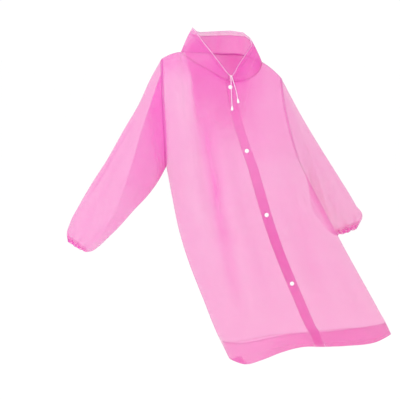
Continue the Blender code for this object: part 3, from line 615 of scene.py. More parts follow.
def inside_of(points):
    """A line of points down the middle of the coat, one for each row."""
    middle = points.mean(axis=1, keepdims=True)
    middle[..., 1] = 0.0
    return middle


front_normal = outward(front, inside_of(front))
below = np.maximum(rows_down, 0)[:, None]
body_width = read(BODY, "left_x", below) - read(BODY, "right_x", below)
past_lap = (front_share - front_share[:, LAP_END:LAP_END + 1]) * body_width
over_lap = np.clip(1 - past_lap / LAP_RUN, 0, 1)
upper_front = front + front_normal * (2 * LAYER * over_lap**2 * (3 - 2 * over_lap))[..., None]
print("the left front lies", 2 * LAYER, "m over the right one in the lap")

# %% [markdown]
# ## A sheet of film
# Each piece of film is a grid of points with a thin wall from Solidify. It carries two attributes.
# films_and_shade says how many films thick it looks, with seam allowances, creases and doubled places above
# 1, and painted shade counted as more films where the film is darkened for shade. weld is 1 on a welded
# seam. Its UV map is the cut itself, in metres, so that a pattern follows the film.

# %% Making a sheet of film
def along_edge(distance, width, soft=0.0015):
    """1 from an edge up to a width, then 0, with a soft step between."""
    return 1 - step(distance, width, width + soft)


def film_sheet(name, points, films_and_shade, weld, closed=False, wall=FILM):
    """A grid of points as one walled sheet, or as a tube where its last column joins its first."""
    count, wide = points.shape[:2]
    index = np.arange(count * wide).reshape(count, wide)
    laid = points
    if closed:
        index = np.concatenate([index, index[:, :1]], axis=1)
        laid = np.concatenate([points, points[:, :1]], axis=1)
    uv = np.stack([run_along(laid, 1), run_along(laid, 0)], axis=-1)
    piece = add_mesh(name, points, corners(index).tolist(), corners(uv).reshape(-1, 2))
    for label, values in (("films_and_shade", films_and_shade), ("weld", weld)):
        data = piece.data.attributes.new(label, "FLOAT", "POINT")
        data.data.foreach_set("value", np.broadcast_to(values, (count, wide)).astype(np.float32).ravel())
    solid = piece.modifiers.new("wall", "SOLIDIFY")
    solid.thickness = wall
    solid.offset = 0.0
    cells = corners(laid)
    area = np.linalg.norm(np.cross(cells[:, 2] - cells[:, 0], cells[:, 3] - cells[:, 1]), axis=-1).sum() / 2
    flat = (float(uv[..., 0].max()), float(uv[..., 1].max()))
    print(f"{name}: {flat[0]:.3f} x {flat[1]:.3f} m, {area:.4f} m2, {cells.shape[0]} faces")
    return piece, flat, float(area)


# %% [markdown]
# ## Seams, tone and painted shade of the body
# A film coat is welded: two edges are laid together and melted along a line, so every seam shows as a strip
# that is twice as dense. Behind the neck the film looks much denser, through the V and down to the chest:
# partly because the spare film of the collar and a neck facing lie in several layers on the back there, and
# partly as painted shade inside the neck. Below the front's neckline and shoulder seams painted shade darkens
# the film too.

# %% Layers and welds of a panel
ALLOWANCE = 0.006               # width of a welded seam
NECK_SPARE_AND_SHADE = table(             # the denser place on the back, partly spare film and partly painted shade: its density, more in its middle, and its edge
    "z  more  peak  edge",
    [
        (-0.46, 0.00, 0.0, -0.080), (-0.34, 0.25, 0.0, -0.086), (-0.27, 0.70, 0.0, -0.092),
        (-0.20, 1.35, 0.0, -0.100), (-0.13, 1.70, 0.0, -0.107), (-0.07, 1.95, 0.7, -0.112),
        (-0.03, 2.30, 1.5, -0.124), (0.04, 2.50, 1.7, -0.140),
    ],
)
SHADE_UNDER_COLLAR = 0.030            # painted shade: the front is darker over this width below the neckline
NECK_SHADE = 0.35                # painted shade: darker by this much, and by more near the V
V_SHADE = 0.75
SHOULDER_SHADE = {"right": 0.75, "left": 0.20}    # and painted shade below the shoulder seams
SEAM_TONE = 0.9                 # how much denser a welded seam looks
LEFT_SEAM_LESS = 0.4            # and how much less on the wearer's left
FRONT_NECK_SHOWN = 0.10         # share of that tone on the neckline's seam in front
HEM_TONE = {-1: 0.35, 1: 0.10}  # the hem's weld, in front and behind
DRAWN_TONE = 1.3                # film drawn together beside the right side seam
CHEST_TONE = 0.45               # the left front from the chest up


def neck_spare_and_shade(points):
    """How much denser the back is below the neck, partly for spare film and partly as painted shade inside
    the
    neck: the table's value, with a hill near the middle, a clear edge on the wearer's right and a soft one
    on the left."""
    x, z = points[..., 0], points[..., 2]
    edge = read(NECK_SPARE_AND_SHADE, "edge", z)
    sharp = step(x, edge - 0.011, edge + 0.013)
    more = read(NECK_SPARE_AND_SHADE, "more", z) * (1 - 0.75 * step(x, 0.045, 0.125)) * (1 - step(x, 0.10, 0.18))
    more *= 1 - 0.35 * (1 - step(x, -0.07, 0.0)) * step(-z, 0.12, 0.18)
    more *= 1 - 0.30 * (1 - step(x, -0.06, -0.01)) * step(z, -0.05, -0.01)
    beside = 1.1 * step(z, -0.045, -0.020) * step(x, 0.07, 0.12) * (1 - step(x, 0.13, 0.15))
    return sharp * (more + beside + read(NECK_SPARE_AND_SHADE, "peak", z) * bump(x - 0.045, 0.05))


def neck_shadow(points):
    """Painted shade on the front: its first few centimetres below the neckline are a little darker, most of
    all near the V, and a slower painted shade runs down from both shoulder seams."""
    x = points[..., 0]
    near = 1 - step(run_along(points, 0), 0.0, SHADE_UNDER_COLLAR)
    shoulder = 1 - step(run_along(points, 0), 0.03, 0.14)
    round_neck = step(x, -0.14, -0.08) * (1 - step(x, 0.10, 0.15))
    neck = near * (NECK_SHADE + V_SHADE * bump(x - 0.015, 0.07)) * round_neck
    on_right, on_left = 1 - step(x, -0.15, -0.10), step(x, 0.0, 0.1)
    return neck + shoulder * (SHOULDER_SHADE["right"] * on_right + SHOULDER_SHADE["left"] * on_left)


def panel_look(points, side):
    """films_and_shade and weld of a panel: 1, the creases' doubled film with their painted shade and light,
    nearly 1 more along the side seams and the top edge, and a little more on the hem's weld. The neckline's
    seam is soft in front, and behind the neck it is dark only where the collar's opening shows it. In front
    the film is drawn together beside the right side seam."""
    from_right = run_along(points, 1)
    from_left = from_right[:, -1:] - from_right
    from_top = run_along(points, 0)
    from_hem = np.abs(rows_down[:, None] - (SKIRT - HEM))
    seam = along_edge(np.minimum(from_top, np.minimum(from_right, from_left)), ALLOWANCE)
    weld = np.maximum(seam, along_edge(from_hem, HEM_WELD * 0.5, 0.001) + 0 * from_top)
    x, z = points[..., 0], points[..., 2]
    neck = step(NECK_HALF - np.abs(x - NECK_MIDDLE), 0.0, 0.010) * along_edge(from_top, ALLOWANCE)
    shown = step(x, -0.030, -0.012) * (1 - step(x, 0.070, 0.088)) if side > 0 else FRONT_NECK_SHOWN
    beside_arm = step(-z, 0.12, 0.26) * (1 - step(-z, 0.38, 0.46)) * (side < 0)
    drawn = DRAWN_TONE * bump(from_right, 0.013) * beside_arm
    seam_tone = (SEAM_TONE - LEFT_SEAM_LESS * step(x, 0.19, 0.21)) * seam * (1 - neck * (1 - shown))
    hem_tone = HEM_TONE[side] * (weld - seam)
    return 1 + creases(x, z, side)[1] + seam_tone + hem_tone + drawn, weld


# %% The right front, the left front and their facings
right, left = slice(0, LAP_END + 1), slice(LAP_START, None)
lap = slice(LAP_START, LAP_END + 1)
LAP_LAYERS = table(             # pressed films look thinner: a facing's layers, and the lower front's share
    "up  facing lower",
    [
        (-1.08, 1.20, 1.0), (-0.93, 0.65, 1.0), (-0.69, 0.90, 1.0), (-0.456, 0.45, 1.0), (-0.30, 0.20, 0.8),
        (-0.10, 0.10, 0.4),
    ],
)
film = {}
films_and_shade, weld = panel_look(front, -1)
# painted shade: the film is darkened below the neckline and the shoulder seams
films_and_shade += neck_shadow(front)
films_and_shade[:, lap] *= read(LAP_LAYERS, "lower", front[:, lap, 2])
film["front_right"] = film_sheet("film_front_right", front[:, right], films_and_shade[:, right], weld[:, right])
films_and_shade, weld = panel_look(upper_front, -1)
chest = CHEST_TONE * step(upper_front[..., 0], 0.06, 0.13) * (1 - step(-upper_front[..., 2], 0.22, 0.48))
# painted shade below the neckline and the shoulder seams, on the upper front too
films_and_shade += chest + neck_shadow(upper_front)
film["front_left"] = film_sheet("film_front_left", upper_front[:, left], films_and_shade[:, left], weld[:, left])
for name, stand in (("facing_right", -1), ("facing_left", 1)):
    strip = (front + stand * LAYER * front_normal)[:, lap]
    film[name] = film_sheet(f"film_{name}", strip, read(LAP_LAYERS, "facing", strip[..., 2]), 0.0)

# %% The back
films_and_shade, weld = panel_look(back, 1)
# painted shade, partly spare film: the back is darker below the neck, through the V and down to the chest
film["back"] = film_sheet("film_back", back, films_and_shade + neck_spare_and_shade(back), weld)

# %% [markdown]
# ## The turned-up hem
# The hem is folded up inside and welded along its top, so a band 55 mm deep is two films thick. It is a
# layer of its own inside each panel, which makes the band darker without any paint.

# %% The hem's inner layers
HEM_LAYERS = table(             # layers of the inner film over x, and how many more below the back's edge
    "x  hem_right hem_left hem_back  lower",
    [
        (0.03, 0.55, 1.40, 0.20, 1.2), (0.15, 0.70, 1.40, 0.20, 1.2), (0.26, 1.10, 1.40, 0.30, 1.3),
        (0.36, 1.30, 1.40, 0.35, 1.3), (0.50, 1.30, 1.35, 0.35, 1.3), (0.61, 1.30, 1.20, 0.35, 1.3),
    ],
)
CORNER = ((0.029, -1.094), (0.068, -1.077), (0.083, -1.098))    # x and z of a turned-over corner of the hem


def hem_corner(points):
    """1 inside the corner's triangle, below its first side and on the left of its second, with soft sides."""
    x, z = points[..., 0], points[..., 2]
    (ax, az), (bx, bz), (cx, cz) = CORNER
    below_top = az + (bz - az) * (x - ax) / (bx - ax) - z
    before_end = bx + (cx - bx) * (z - bz) / (cz - bz) - x
    return step(below_top, 0.0, 0.004) * step(before_end, 0.0, 0.005)


def hem_layer(name, points, cut):
    """The panel's rows below the hem's weld, moved one layer inwards, just short of the seams at the two
    ends."""
    inner = (points - outward(points, inside_of(points)) * LAYER)[HEM_ROW:, cut]
    for end, beside in ((0, 1), (-1, -2)):
        away = inner[:, beside] - inner[:, end]
        size = np.linalg.norm(away, axis=-1, keepdims=True)
        inner[:, end] += away / size * np.minimum(LAYER, size / 2)
    weld = along_edge(run_along(inner, 0), HEM_WELD)
    look = read(HEM_LAYERS, name, inner[..., 0]) + 0.2 * weld
    if name != "hem_back":
        mine, edge = seen(inner), seen(back[-1])
        under = np.interp(mine[..., 0], edge[:, 0], edge[:, 2]) - mine[..., 2]
        look += read(HEM_LAYERS, "lower", inner[..., 0]) * step(under, -0.0015, 0.0015)
    if name == "hem_right":
        look += 1.3 * hem_corner(inner)
    return film_sheet(f"film_{name}", inner, look, weld)


film["hem_right"] = hem_layer("hem_right", front, slice(0, LAP_START + 1))
film["hem_left"] = hem_layer("hem_left", upper_front, slice(LAP_END, None))
film["hem_back"] = hem_layer("hem_back", back, slice(0, None))

# %% [markdown]
# ## Sleeves
# A sleeve is drafted as rings from the armhole to the cuff. Each ring has an outer and an inner end, a
# depth, and the place of the long crease on its front. Near the armhole the ring takes up the armhole's own
# line, so sleeve and body meet all the way round. The right sleeve hangs away from the body and the left
# one swings back.

# %% Measures of the sleeves
ARM_RUN = 0.05                  # the sleeve takes up the armhole's curve over this length
ARM_ROOM = 0.0009               # room between a sleeve and the armhole
UNDERARM_ROOM = 0.0030          # and more of it under the arm
CREASE_PULL = 0.35              # how far the front leaves the ellipse for the crease's two flats
SLEEVE_COLUMNS = "along  out_x out_y out_z  in_x in_y in_z  depth crease"
SLEEVES = {
    "right": table(
        SLEEVE_COLUMNS,
        [
            (0.000, -0.220, 0.000, -0.004, -0.202, 0.000, -0.393, 0.065, 0.12),
            (0.050, -0.257, 0.000, -0.070, -0.215, 0.000, -0.418, 0.068, 0.19),
            (0.123, -0.301, -0.005, -0.165, -0.236, -0.005, -0.454, 0.068, 0.26),
            (0.210, -0.358, -0.012, -0.263, -0.273, -0.012, -0.503, 0.067, 0.43),
            (0.303, -0.417, -0.020, -0.368, -0.320, -0.020, -0.552, 0.066, 0.61),
            (0.388, -0.471, -0.028, -0.452, -0.367, -0.028, -0.605, 0.064, 0.74),
            (0.468, -0.516, -0.034, -0.529, -0.415, -0.034, -0.653, 0.061, 0.84),
            (0.528, -0.549, -0.038, -0.594, -0.451, -0.038, -0.685, 0.056, 0.88),
            (0.565, -0.560, -0.040, -0.642, -0.480, -0.040, -0.700, 0.044, 0.90),
            (0.583, -0.555, -0.040, -0.669, -0.500, -0.040, -0.701, 0.031, 0.90),
        ],
    ),
    "left": table(
        SLEEVE_COLUMNS,
        [
            (0.000, 0.215, 0.000, -0.073, 0.284, 0.000, -0.385, 0.065, 0.12),
            (0.053, 0.249, 0.020, -0.137, 0.3005, 0.039, -0.418, 0.067, 0.20),
            (0.115, 0.288, 0.050, -0.208, 0.315, 0.082, -0.460, 0.066, 0.30),
            (0.207, 0.361, 0.090, -0.329, 0.324, 0.120, -0.512, 0.062, 0.45),
            (0.302, 0.435, 0.130, -0.446, 0.336, 0.150, -0.565, 0.058, 0.60),
            (0.385, 0.493, 0.165, -0.542, 0.373, 0.170, -0.614, 0.053, 0.75),
            (0.428, 0.516, 0.185, -0.594, 0.396, 0.185, -0.640, 0.044, 0.85),
            (0.450, 0.493, 0.190, -0.636, 0.427, 0.190, -0.658, 0.031, 0.90),
        ],
    ),
}

# %% [markdown]
# ## Gathers and sleeve creases
# The elastic pulls the cuff in, and the film above it stands in small uneven gathers. Waves round the ring
# that grow towards the cuff make them: a main one and a finer one, each drifting, so that no two gathers
# are alike. Longer creases run up the arm from them.

# %% Gathers, creases and the form of a sleeve
GATHERS = 10                    # main gathers round a cuff
GATHER_HEIGHT = 0.0042
GATHER_RUN = 0.09               # the main gathers die out over this length
RAGGED = 0.005                  # the mouth's edge runs in and out by this much
AROUND = 180                    # points round a ring
# a crease's last value darkens the film along it, partly for doubled film and partly as painted shade
ARM_CREASES = table(            # from one turn and length to another; 90 degrees is the front, 270 the back
    "arm  turn_a along_a  turn_b along_b  width height  tone",
    [
        (-1, 40, 0.05, 75, 0.42, 9, 0.0028, 0.10), (-1, 120, 0.12, 150, 0.36, 8, -0.0030, 0.12),
        (-1, 62, 0.38, 100, 0.56, 8, 0.0030, 0.14), (-1, 29, 0.10, 33, 0.50, 7, -0.0018, 0.48),
        (-1, 130, 0.40, 118, 0.57, 8, -0.0028, 0.18), (-1, 235, 0.06, 275, 0.44, 10, 0.0030, 0.10),
        (-1, 305, 0.20, 290, 0.55, 9, -0.0028, 0.12), (-1, 215, 0.34, 250, 0.56, 8, 0.0026, 0.10),
        (1, 50, 0.04, 80, 0.34, 9, 0.0028, 0.10), (1, 115, 0.10, 140, 0.30, 8, -0.0028, 0.12),
        (1, 30, 0.12, 34, 0.38, 6, -0.0018, 0.25), (1, 75, 0.28, 105, 0.43, 8, 0.0028, 0.14),
        (1, 240, 0.05, 270, 0.36, 10, 0.0030, 0.10), (1, 300, 0.16, 285, 0.42, 9, -0.0028, 0.12),
    ],
)


def armhole(side, across, turn):
    """The armhole's own line: the body's side edge, down its front for half a turn and up its back."""
    share = 0.0 if side == "right" else 1.0
    in_front, behind = body(share, across - 1, -1), body(share, across - 1, 1)
    edge = np.where((np.sin(turn) > 0)[:, None], in_front, behind)
    edge[np.abs(np.sin(turn)) < 1e-9, 1] = 0.0
    return edge


def gathers(turn, back_from_cuff):
    """Height of the gathers: cos(10 a) and cos(23 a) with slow drifts of their angle, each growing as a
    power of how near the cuff is. Their sum stays between -1.25 and 1.25 gather heights."""
    near = np.clip(1 - back_from_cuff / GATHER_RUN, 0, 1) ** 1.5
    close = np.clip(1 - back_from_cuff / 0.045, 0, 1)
    drift = 0.35 * np.sin(3 * turn + 1.0) + 6.0 * np.sin(turn) * back_from_cuff
    main = np.cos(GATHERS * turn + drift) * (0.80 + 0.20 * np.sin(2 * turn + 0.7))
    fine = np.cos(23 * turn + 0.6 * np.sin(4 * turn))
    return GATHER_HEIGHT * (main * near + 0.25 * fine * close)


def arm_creases(side, turn, along):
    """Height and tone of the long creases, partly doubled film and partly painted shade: each
    is a hill across the turn, along a straight line in turn and length, and it fades at both ends."""
    height, tone = np.zeros(np.broadcast(turn, along).shape), np.zeros(np.broadcast(turn, along).shape)
    for k, row in rows_where(ARM_CREASES, "arm", -1 if side == "right" else 1):
        run = np.clip((along - row["along_a"]) / (row["along_b"] - row["along_a"]), 0, 1)
        middle = row["turn_a"] + (row["turn_b"] - row["turn_a"]) * run + 3 * np.sin(30 * along + k)
        hill = bump(np.degrees(turn) - middle, row["width"]) * np.sin(np.pi * run) ** 1.3
        height += row["height"] * hill
        tone += row["tone"] * hill
    return height, tone


def sleeve_rings(side, along, inset=0.0, gathered=True):
    """A sleeve's rings at stations along it: outer end + (inner end - outer end) * (1 - cos a) / 2, less
    depth * sin a in y. In front the sine gives way by a share to the two flats that meet at the crease.
    Ring 0 lies on the armhole, and gathers and creases are added along the ring's own radius."""
    rows = SLEEVES[side]
    turn = 2 * np.pi * np.arange(AROUND) / AROUND
    across = (1 - np.cos(turn)) / 2
    length = rows["along"][-1]
    along = np.asarray(along, float)[:, None]
    moved = along + (ARM_ROOM + UNDERARM_ROOM * across**6) * (1 - along / length)
    wavy = (0.5 + 0.5 * np.cos(GATHERS * turn + 2.0)) * (0.6 + 0.4 * np.sin(3 * turn))
    moved = moved - RAGGED * gathered * wavy * step(along, length - 0.025, length)

    def ring(at):
        outer = np.stack([read(rows, "out_" + axis, at) for axis in "xyz"], axis=-1)
        inner = np.stack([read(rows, "in_" + axis, at) for axis in "xyz"], axis=-1)
        points = outer + (inner - outer) * across[None, :, None]
        ahead = np.broadcast_to(np.sin(turn), at.shape)
        crease = read(rows, "crease", at)
        flat = np.minimum(across / crease, (1 - across) / (1 - crease))
        pull = CREASE_PULL * np.clip(at / 0.12, 0, 1)
        in_front = ahead * (1 - pull) + flat * pull
        points[..., 1] -= read(rows, "depth", at) * np.where(ahead > 0, in_front, ahead)
        return points, (outer + inner) / 2

    points, middle = ring(moved)
    start, _ = ring(np.zeros_like(moved))
    near = np.clip(1 - moved / ARM_RUN, 0, 1)[..., None] ** 2
    points += (armhole(side, across, turn) - start) * near
    radial = points - middle
    radial /= np.linalg.norm(radial, axis=-1, keepdims=True)
    height, tone = arm_creases(side, turn, along)
    relief = (gathers(turn, length - along) + height * step(along, 0.01, 0.05)) * gathered
    return points + radial * (relief - inset)[..., None], tone, across, turn


# %% [markdown]
# ## The tone and painted shade of a sleeve
# The photograph shows two flats on the front of a sleeve, a light outer one and a denser inner one, with a
# sharp line between them at the crease: partly the sleeve's spare width is folded under there, and partly
# the inner flat carries painted shade, as it turns away from the light. The cuff is dark, because the
# gathers put many films behind each other, and the troughs between the gathers carry painted shade.

# %% The two sleeves and their elastics
# painted shade, partly film folded under: how much darker the inner flat past the crease looks along each
# sleeve
INNER_FLAT_FOLD_AND_SHADE = {
    "right": table(
        "along  more",
        [
            (0.00, 1.20), (0.06, 1.05), (0.12, 0.62), (0.22, 0.44), (0.34, 0.20), (0.45, 0.16), (0.52, 0.05),
            (0.583, 0.00),
        ],
    ),
    "left": table("along  more", [(0, 0.12), (0.15, 0.10), (0.30, 0.12), (0.45, 0.0)]),
}
BEHIND_BODY = 0.9               # the left sleeve looks thinner by this much where the body's side hides it
MOUTH_TONE = 0.2                # the cuff's mouth is denser by this much, and by more where it is pinched
PINCH_TONE = 5.5
TROUGH_SHADE = 0.6               # and the troughs between its gathers, partly for film and partly as painted shade
PULLED_TONE = 0.45              # film drawn together along the right armhole
ARM_SEAM_TONE = {"right": 0.7, "left": 0.45}
ELASTIC_WALL = 0.0011


def sleeve_look(side, points, along, tone, across, turn):
    """films_and_shade and weld of a sleeve: creases, the inner flat's share past the crease (partly film
    folded under, partly painted shade), seams on its outer line, under the arm and round the armhole, the
    pinched film at the cuff's mouth and the painted shade in the troughs between its gathers. On the right
    the film is drawn together along the armhole."""
    length = SLEEVES[side]["along"][-1]
    at = along[:, None]
    crease = read(SLEEVES[side], "crease", at)
    # painted shade, partly film folded under: the inner flat past the crease is darker
    inner = step(across, crease - 0.012, crease + 0.012) * read(INNER_FLAT_FOLD_AND_SHADE[side], "more", at)
    radius = np.linalg.norm(points - points.mean(axis=1, keepdims=True), axis=-1)
    from_outer = radius * np.minimum(turn, 2 * np.pi - turn)
    from_inner = radius * np.abs(turn - np.pi)
    from_arm = run_along(points, 0)
    weld = np.maximum(along_edge(from_outer, ALLOWANCE / 2), along_edge(from_inner, ALLOWANCE / 2))
    weld = np.maximum(weld, along_edge(from_arm, ALLOWANCE))
    mouth = step(at, length - 0.015, length - 0.005)
    ripple = gathers(turn, length - at) / GATHER_HEIGHT
    pinched = bump(np.degrees(turn) - 85, 40) * (0.55 + 0.45 * np.cos(21 * turn + 1.5 * np.sin(5 * turn)))
    # painted shade, partly film: the troughs between the gathers are darker
    shaded_troughs = np.clip(-ripple, 0, 1) * step(at, length - 0.060, length - 0.012)
    cuff_density_and_shade = mouth * (MOUTH_TONE + PINCH_TONE * pinched) + TROUGH_SHADE * shaded_troughs
    behind = 0
    if side == "left":
        mine = seen(points)
        body_side = np.interp(-mine[..., 2], -BODY["left_z"], BODY["left_x"])
        below_arm = step(-mine[..., 2], 0.385, 0.42)
        behind = -BEHIND_BODY * step(body_side - mine[..., 0], -0.005, 0.030) * below_arm
    pulled = PULLED_TONE * bump(from_arm, 0.012) * step(across, 0.30, 0.80) * (side == "right")
    return 1 + tone + inner + ARM_SEAM_TONE[side] * weld + cuff_density_and_shade + behind + pulled, weld


def sleeve(side):
    """A sleeve from its armhole to its cuff, and the band of elastic inside the cuff."""
    length = SLEEVES[side]["along"][-1]
    along = np.concatenate([[0, 0.003, 0.006, 0.009], np.linspace(0.015, length - 0.095, 56),
                            length - np.linspace(0.09, 0, 46)])
    points, tone, across, turn = sleeve_rings(side, along)
    films_and_shade, weld = sleeve_look(side, points, along, tone, across, turn)
    film["sleeve_" + side] = film_sheet(f"film_sleeve_{side}", points, films_and_shade, weld, closed=True)
    band = length - np.linspace(0.018, 0.006, 9)
    ribs = 0.00018 * np.cos(np.pi * np.arange(9))[:, None, None]
    ring, _, _, _ = sleeve_rings(side, band, inset=GATHER_HEIGHT + LAYER + 3 * SEAM, gathered=False)
    away = ring - ring.mean(axis=1, keepdims=True)
    ring += away / np.linalg.norm(away, axis=-1, keepdims=True) * ribs
    return film_sheet(f"cuff_elastic_{side}", ring, 1.0, 0.0, closed=True, wall=ELASTIC_WALL)


elastic = {side: sleeve(side) for side in ("right", "left")}

# %% [markdown]
# ## The standing collar
# The collar is sewn to the neckline and stands up round the neck. Its rim is given by its place at some
# angles round the neck. On the wearer's right it stands up in a peak, and both front edges slant down to
# the V.

# %% The collar's grid
RIM = table(                    # turn: degrees round the neck, from the front over the wearer's right side
    "turn  x  y  z",
    [
        (-12, 0.029, -0.107, -0.064), (1, -0.004, -0.101, -0.020), (18, -0.036, -0.090, 0.023),
        (39, -0.073, -0.060, 0.069), (78, -0.108, -0.014, 0.113), (100, -0.100, 0.018, 0.099),
        (129, -0.080, 0.047, 0.094), (160, -0.036, 0.074, 0.096), (192, 0.029, 0.083, 0.099),
        (225, 0.080, 0.067, 0.092), (252, 0.103, 0.036, 0.073), (270, 0.107, 0.000, 0.050),
        (295, 0.091, -0.040, 0.026), (317, 0.069, -0.076, -0.003), (333, 0.050, -0.094, -0.035),
        (347, 0.036, -0.105, -0.062),
    ],
)
RIM_SOFT = 3                    # degrees over which the rim's corners are softened
COLLAR_STRIPS = 26              # strips from the neckline up to the rim
FOOT = 0.005                    # the collar's own allowance, which lies inside the coat below the neckline
COLLAR_BOW = 0.004              # the collar bows out by this much
COLLAR_IN, COLLAR_UP = 0.0008, 0.0013    # its foot lies this far inside the neckline, and this far above it
MOUTH = 0.0041                  # the casing stops this far from each end of the collar
COLLAR_FOLDS = table(           # soft upright folds of the collar: turn, width in degrees, height
    "turn  width  height",
    [
        (24, 10, 0.0018), (58, 12, -0.0022), (92, 10, 0.0022), (118, 9, -0.0024), (146, 10, 0.0024),
        (178, 9, -0.0020), (206, 11, 0.0024), (234, 9, -0.0020), (262, 12, 0.0014), (290, 10, -0.0014),
        (315, 10, 0.0018),
    ],
)


def collar_grid():
    """The collar: foot + (rim - foot) * v up each column, moved out by the bow's half sine wave and by
    the folds, which grow from nothing at the foot. The rim's corners are softened by a mean of three near
    turns."""
    seam_right = front[0, SHOULDER + 1:LAP_CENTRE + 1][::-1]
    seam_left = front[0, LAP_CENTRE:-SHOULDER - 1][::-1]
    seam = np.concatenate([seam_right, back[0, SHOULDER:-SHOULDER], seam_left])
    for end, beside in ((0, 1), (-1, -2)):
        away = seam[beside] - seam[end]
        seam[end] += away / np.linalg.norm(away) * LAYER
    mouths = [seam[end] + (seam[beside] - seam[end]) / np.linalg.norm(seam[beside] - seam[end]) * MOUTH
              for end, beside in ((0, 1), (-1, -2))]
    foot = np.concatenate([seam[:1], mouths[:1], seam[1:-1], mouths[1:], seam[-1:]])
    side_x = (foot[:, 0] - NECK_MIDDLE) / NECK_HALF
    turn = np.arctan2(-side_x, -foot[:, 1] / np.where(foot[:, 1] < 0, NECK_FRONT, NECK_BACK))
    turn = np.degrees(np.unwrap(turn))
    foot[:, :2] *= 1 - COLLAR_IN / np.linalg.norm(foot[:, :2], axis=-1, keepdims=True)
    foot[:, 2] += COLLAR_UP
    rim = 0
    for ahead, share in ((-RIM_SOFT, 0.25), (0, 0.5), (RIM_SOFT, 0.25)):
        place = [np.interp(turn + ahead, RIM["turn"], RIM[axis]) for axis in "xyz"]
        rim = rim + share * np.stack(place, axis=-1)
    up = np.linspace(0, 1, COLLAR_STRIPS + 1)[:, None, None]
    points = foot + (rim - foot) * up
    radial = points - np.array([NECK_MIDDLE, 0.0, 0.0])
    radial[..., 2] = 0
    radial /= np.linalg.norm(radial, axis=-1, keepdims=True)
    soft = sum(h * bump(turn - t, w) for t, w, h in zip(*COLLAR_FOLDS.values()))
    return points + radial * (COLLAR_BOW * np.sin(np.pi * up) + soft[None, :, None] * up**1.3), turn


collar, collar_turn = collar_grid()
print("collar grid", collar.shape[:2])

# %% [markdown]
# ## The drawstring's casing
# Inside the rim a narrow strip is welded along both its edges, and the drawstring runs in it. From the
# front the white cord shows through the film as a pale line along both edges of the V.

# %% The casing and the drawstring
CASING = 0.018                  # depth of the casing under the rim
CASING_SHARE = 0.45             # and at most this share of the collar's height
CASING_STAND = table(           # share of the casing's depth, and how far it stands in from the collar
    "depth  stand",
    [(0.00, 0.0024), (0.10, 0.0046), (0.24, 0.0058), (0.38, 0.0054), (0.60, 0.0040), (1.00, 0.0016)],
)
CORD_DEPTH = 0.22               # the drawstring lies at this share of the casing's depth
MOUTH_DEPTH = 0.36              # and at this one where it comes out
CORD_STAND = 0.00305            # and this far in from the collar
CASING_LAYERS = 0.45            # how many films thick the casing looks, and how much more on its two welds
CASING_WELD_TONE = 0.5


def on_collar(depth, inside):
    """For each column but the two ends, the point a share of the casing's depth below the rim, moved
    inwards along the column's mean normal. The casing is shallower where the collar is low."""
    height = np.linalg.norm(collar[-1] - collar[0], axis=-1)
    place = (1 - depth * np.minimum(CASING / height, CASING_SHARE)) * COLLAR_STRIPS
    k = np.clip(place.astype(int), 0, COLLAR_STRIPS - 1)
    t = (place - k)[:, None]
    column = np.arange(collar.shape[1])
    point = collar[k, column] * (1 - t) + collar[k + 1, column] * t
    normal = outward(collar, np.array([NECK_MIDDLE, 0.0, 0.0])).mean(axis=0)
    normal /= np.linalg.norm(normal, axis=-1, keepdims=True)
    return (point - normal * inside)[1:-1]


depths = np.linspace(0, 1, 15)
casing = np.stack([on_collar(depth, read(CASING_STAND, "stand", depth)) for depth in depths])
from_weld = np.minimum(depths, 1 - depths)[:, None] * CASING + 0 * casing[..., 0]
casing_look = CASING_LAYERS + CASING_WELD_TONE * along_edge(from_weld, 0.0015, 0.001)
film["collar_casing"] = film_sheet("film_collar_casing", casing, casing_look, along_edge(from_weld, 0.0015))

from_mouth = run_along(collar[-1:], 1)[0]
from_mouth = np.minimum(from_mouth, from_mouth[-1] - from_mouth)
cord_depth = CORD_DEPTH + (MOUTH_DEPTH - CORD_DEPTH) * (1 - step(from_mouth, 0.006, 0.045))
cord_run = on_collar(cord_depth, CORD_STAND)
cord_run[0], cord_run[-1] = MOUTH_RIGHT, MOUTH_LEFT
drawstring = tube("collar_drawstring", cord_run, CORD, beside=(0.0, 0.0, 1.0))
print(f"drawstring in the casing: {run_along(cord_run[:, None], 0)[-1, 0]:.3f} m")

# %% The collar
COLLAR_LAYERS = table(          # how many films thick the collar looks round the neck
    "turn  films",
    [
        (-12, 1.3), (30, 1.1), (72, 1.1), (95, 1.4), (125, 2.3), (152, 3.4), (190, 3.4), (225, 3.2),
        (245, 2.8), (262, 2.1), (285, 1.8), (347, 1.8),
    ],
)
COLLAR_DENSE = table(           # crumpled places near its foot: turn, width in degrees, height, layers
    "turn  width  up  more",
    [
        (92, 14, 0.35, 1.6), (286, 24, 0.60, 1.9), (335, 14, 0.50, 0.5), (130, 20, 0.80, 0.8),
        (174, 2.5, 2.0, 0.5), (211, 2.5, 2.0, 0.4),
    ],
)
RIM_PALE = 0.45                 # the collar is thinner by this share along its rim, and more so behind
RIM_PALER_BEHIND = 0.2
RIM_WELD_TONE = 0.25

from_end = run_along(collar[:1], 1)[0]
from_end = np.minimum(from_end, from_end[-1] - from_end)
allowance = FOOT * (0.1 + 0.9 * step(from_end, 0.020, 0.030))
foot = np.stack([collar[0] - share * allowance[:, None] * np.array([0.0, 0.0, 1.0]) for share in (1.0, 0.5)])
collar_film = np.concatenate([foot, collar])
from_foot = run_along(collar_film, 0)
from_rim = from_foot[-1:] - from_foot
foot_weld = along_edge(from_foot, allowance + 0.001)
casing_line = np.minimum(CASING, CASING_SHARE * from_foot[-1:])
rim_weld = along_edge(np.abs(from_rim - casing_line), 0.0012, 0.001)
in_back = step(collar_turn, 84, 112) * (1 - step(collar_turn, 246, 268))
pale_rim = 1 - (RIM_PALE + RIM_PALER_BEHIND * in_back) * along_edge(from_rim - casing_line, -0.002, 0.002)
in_opening = step(collar_turn, 166, 175) * (1 - step(collar_turn, 208, 217))
fade_in = np.ones((len(collar_film), 1))
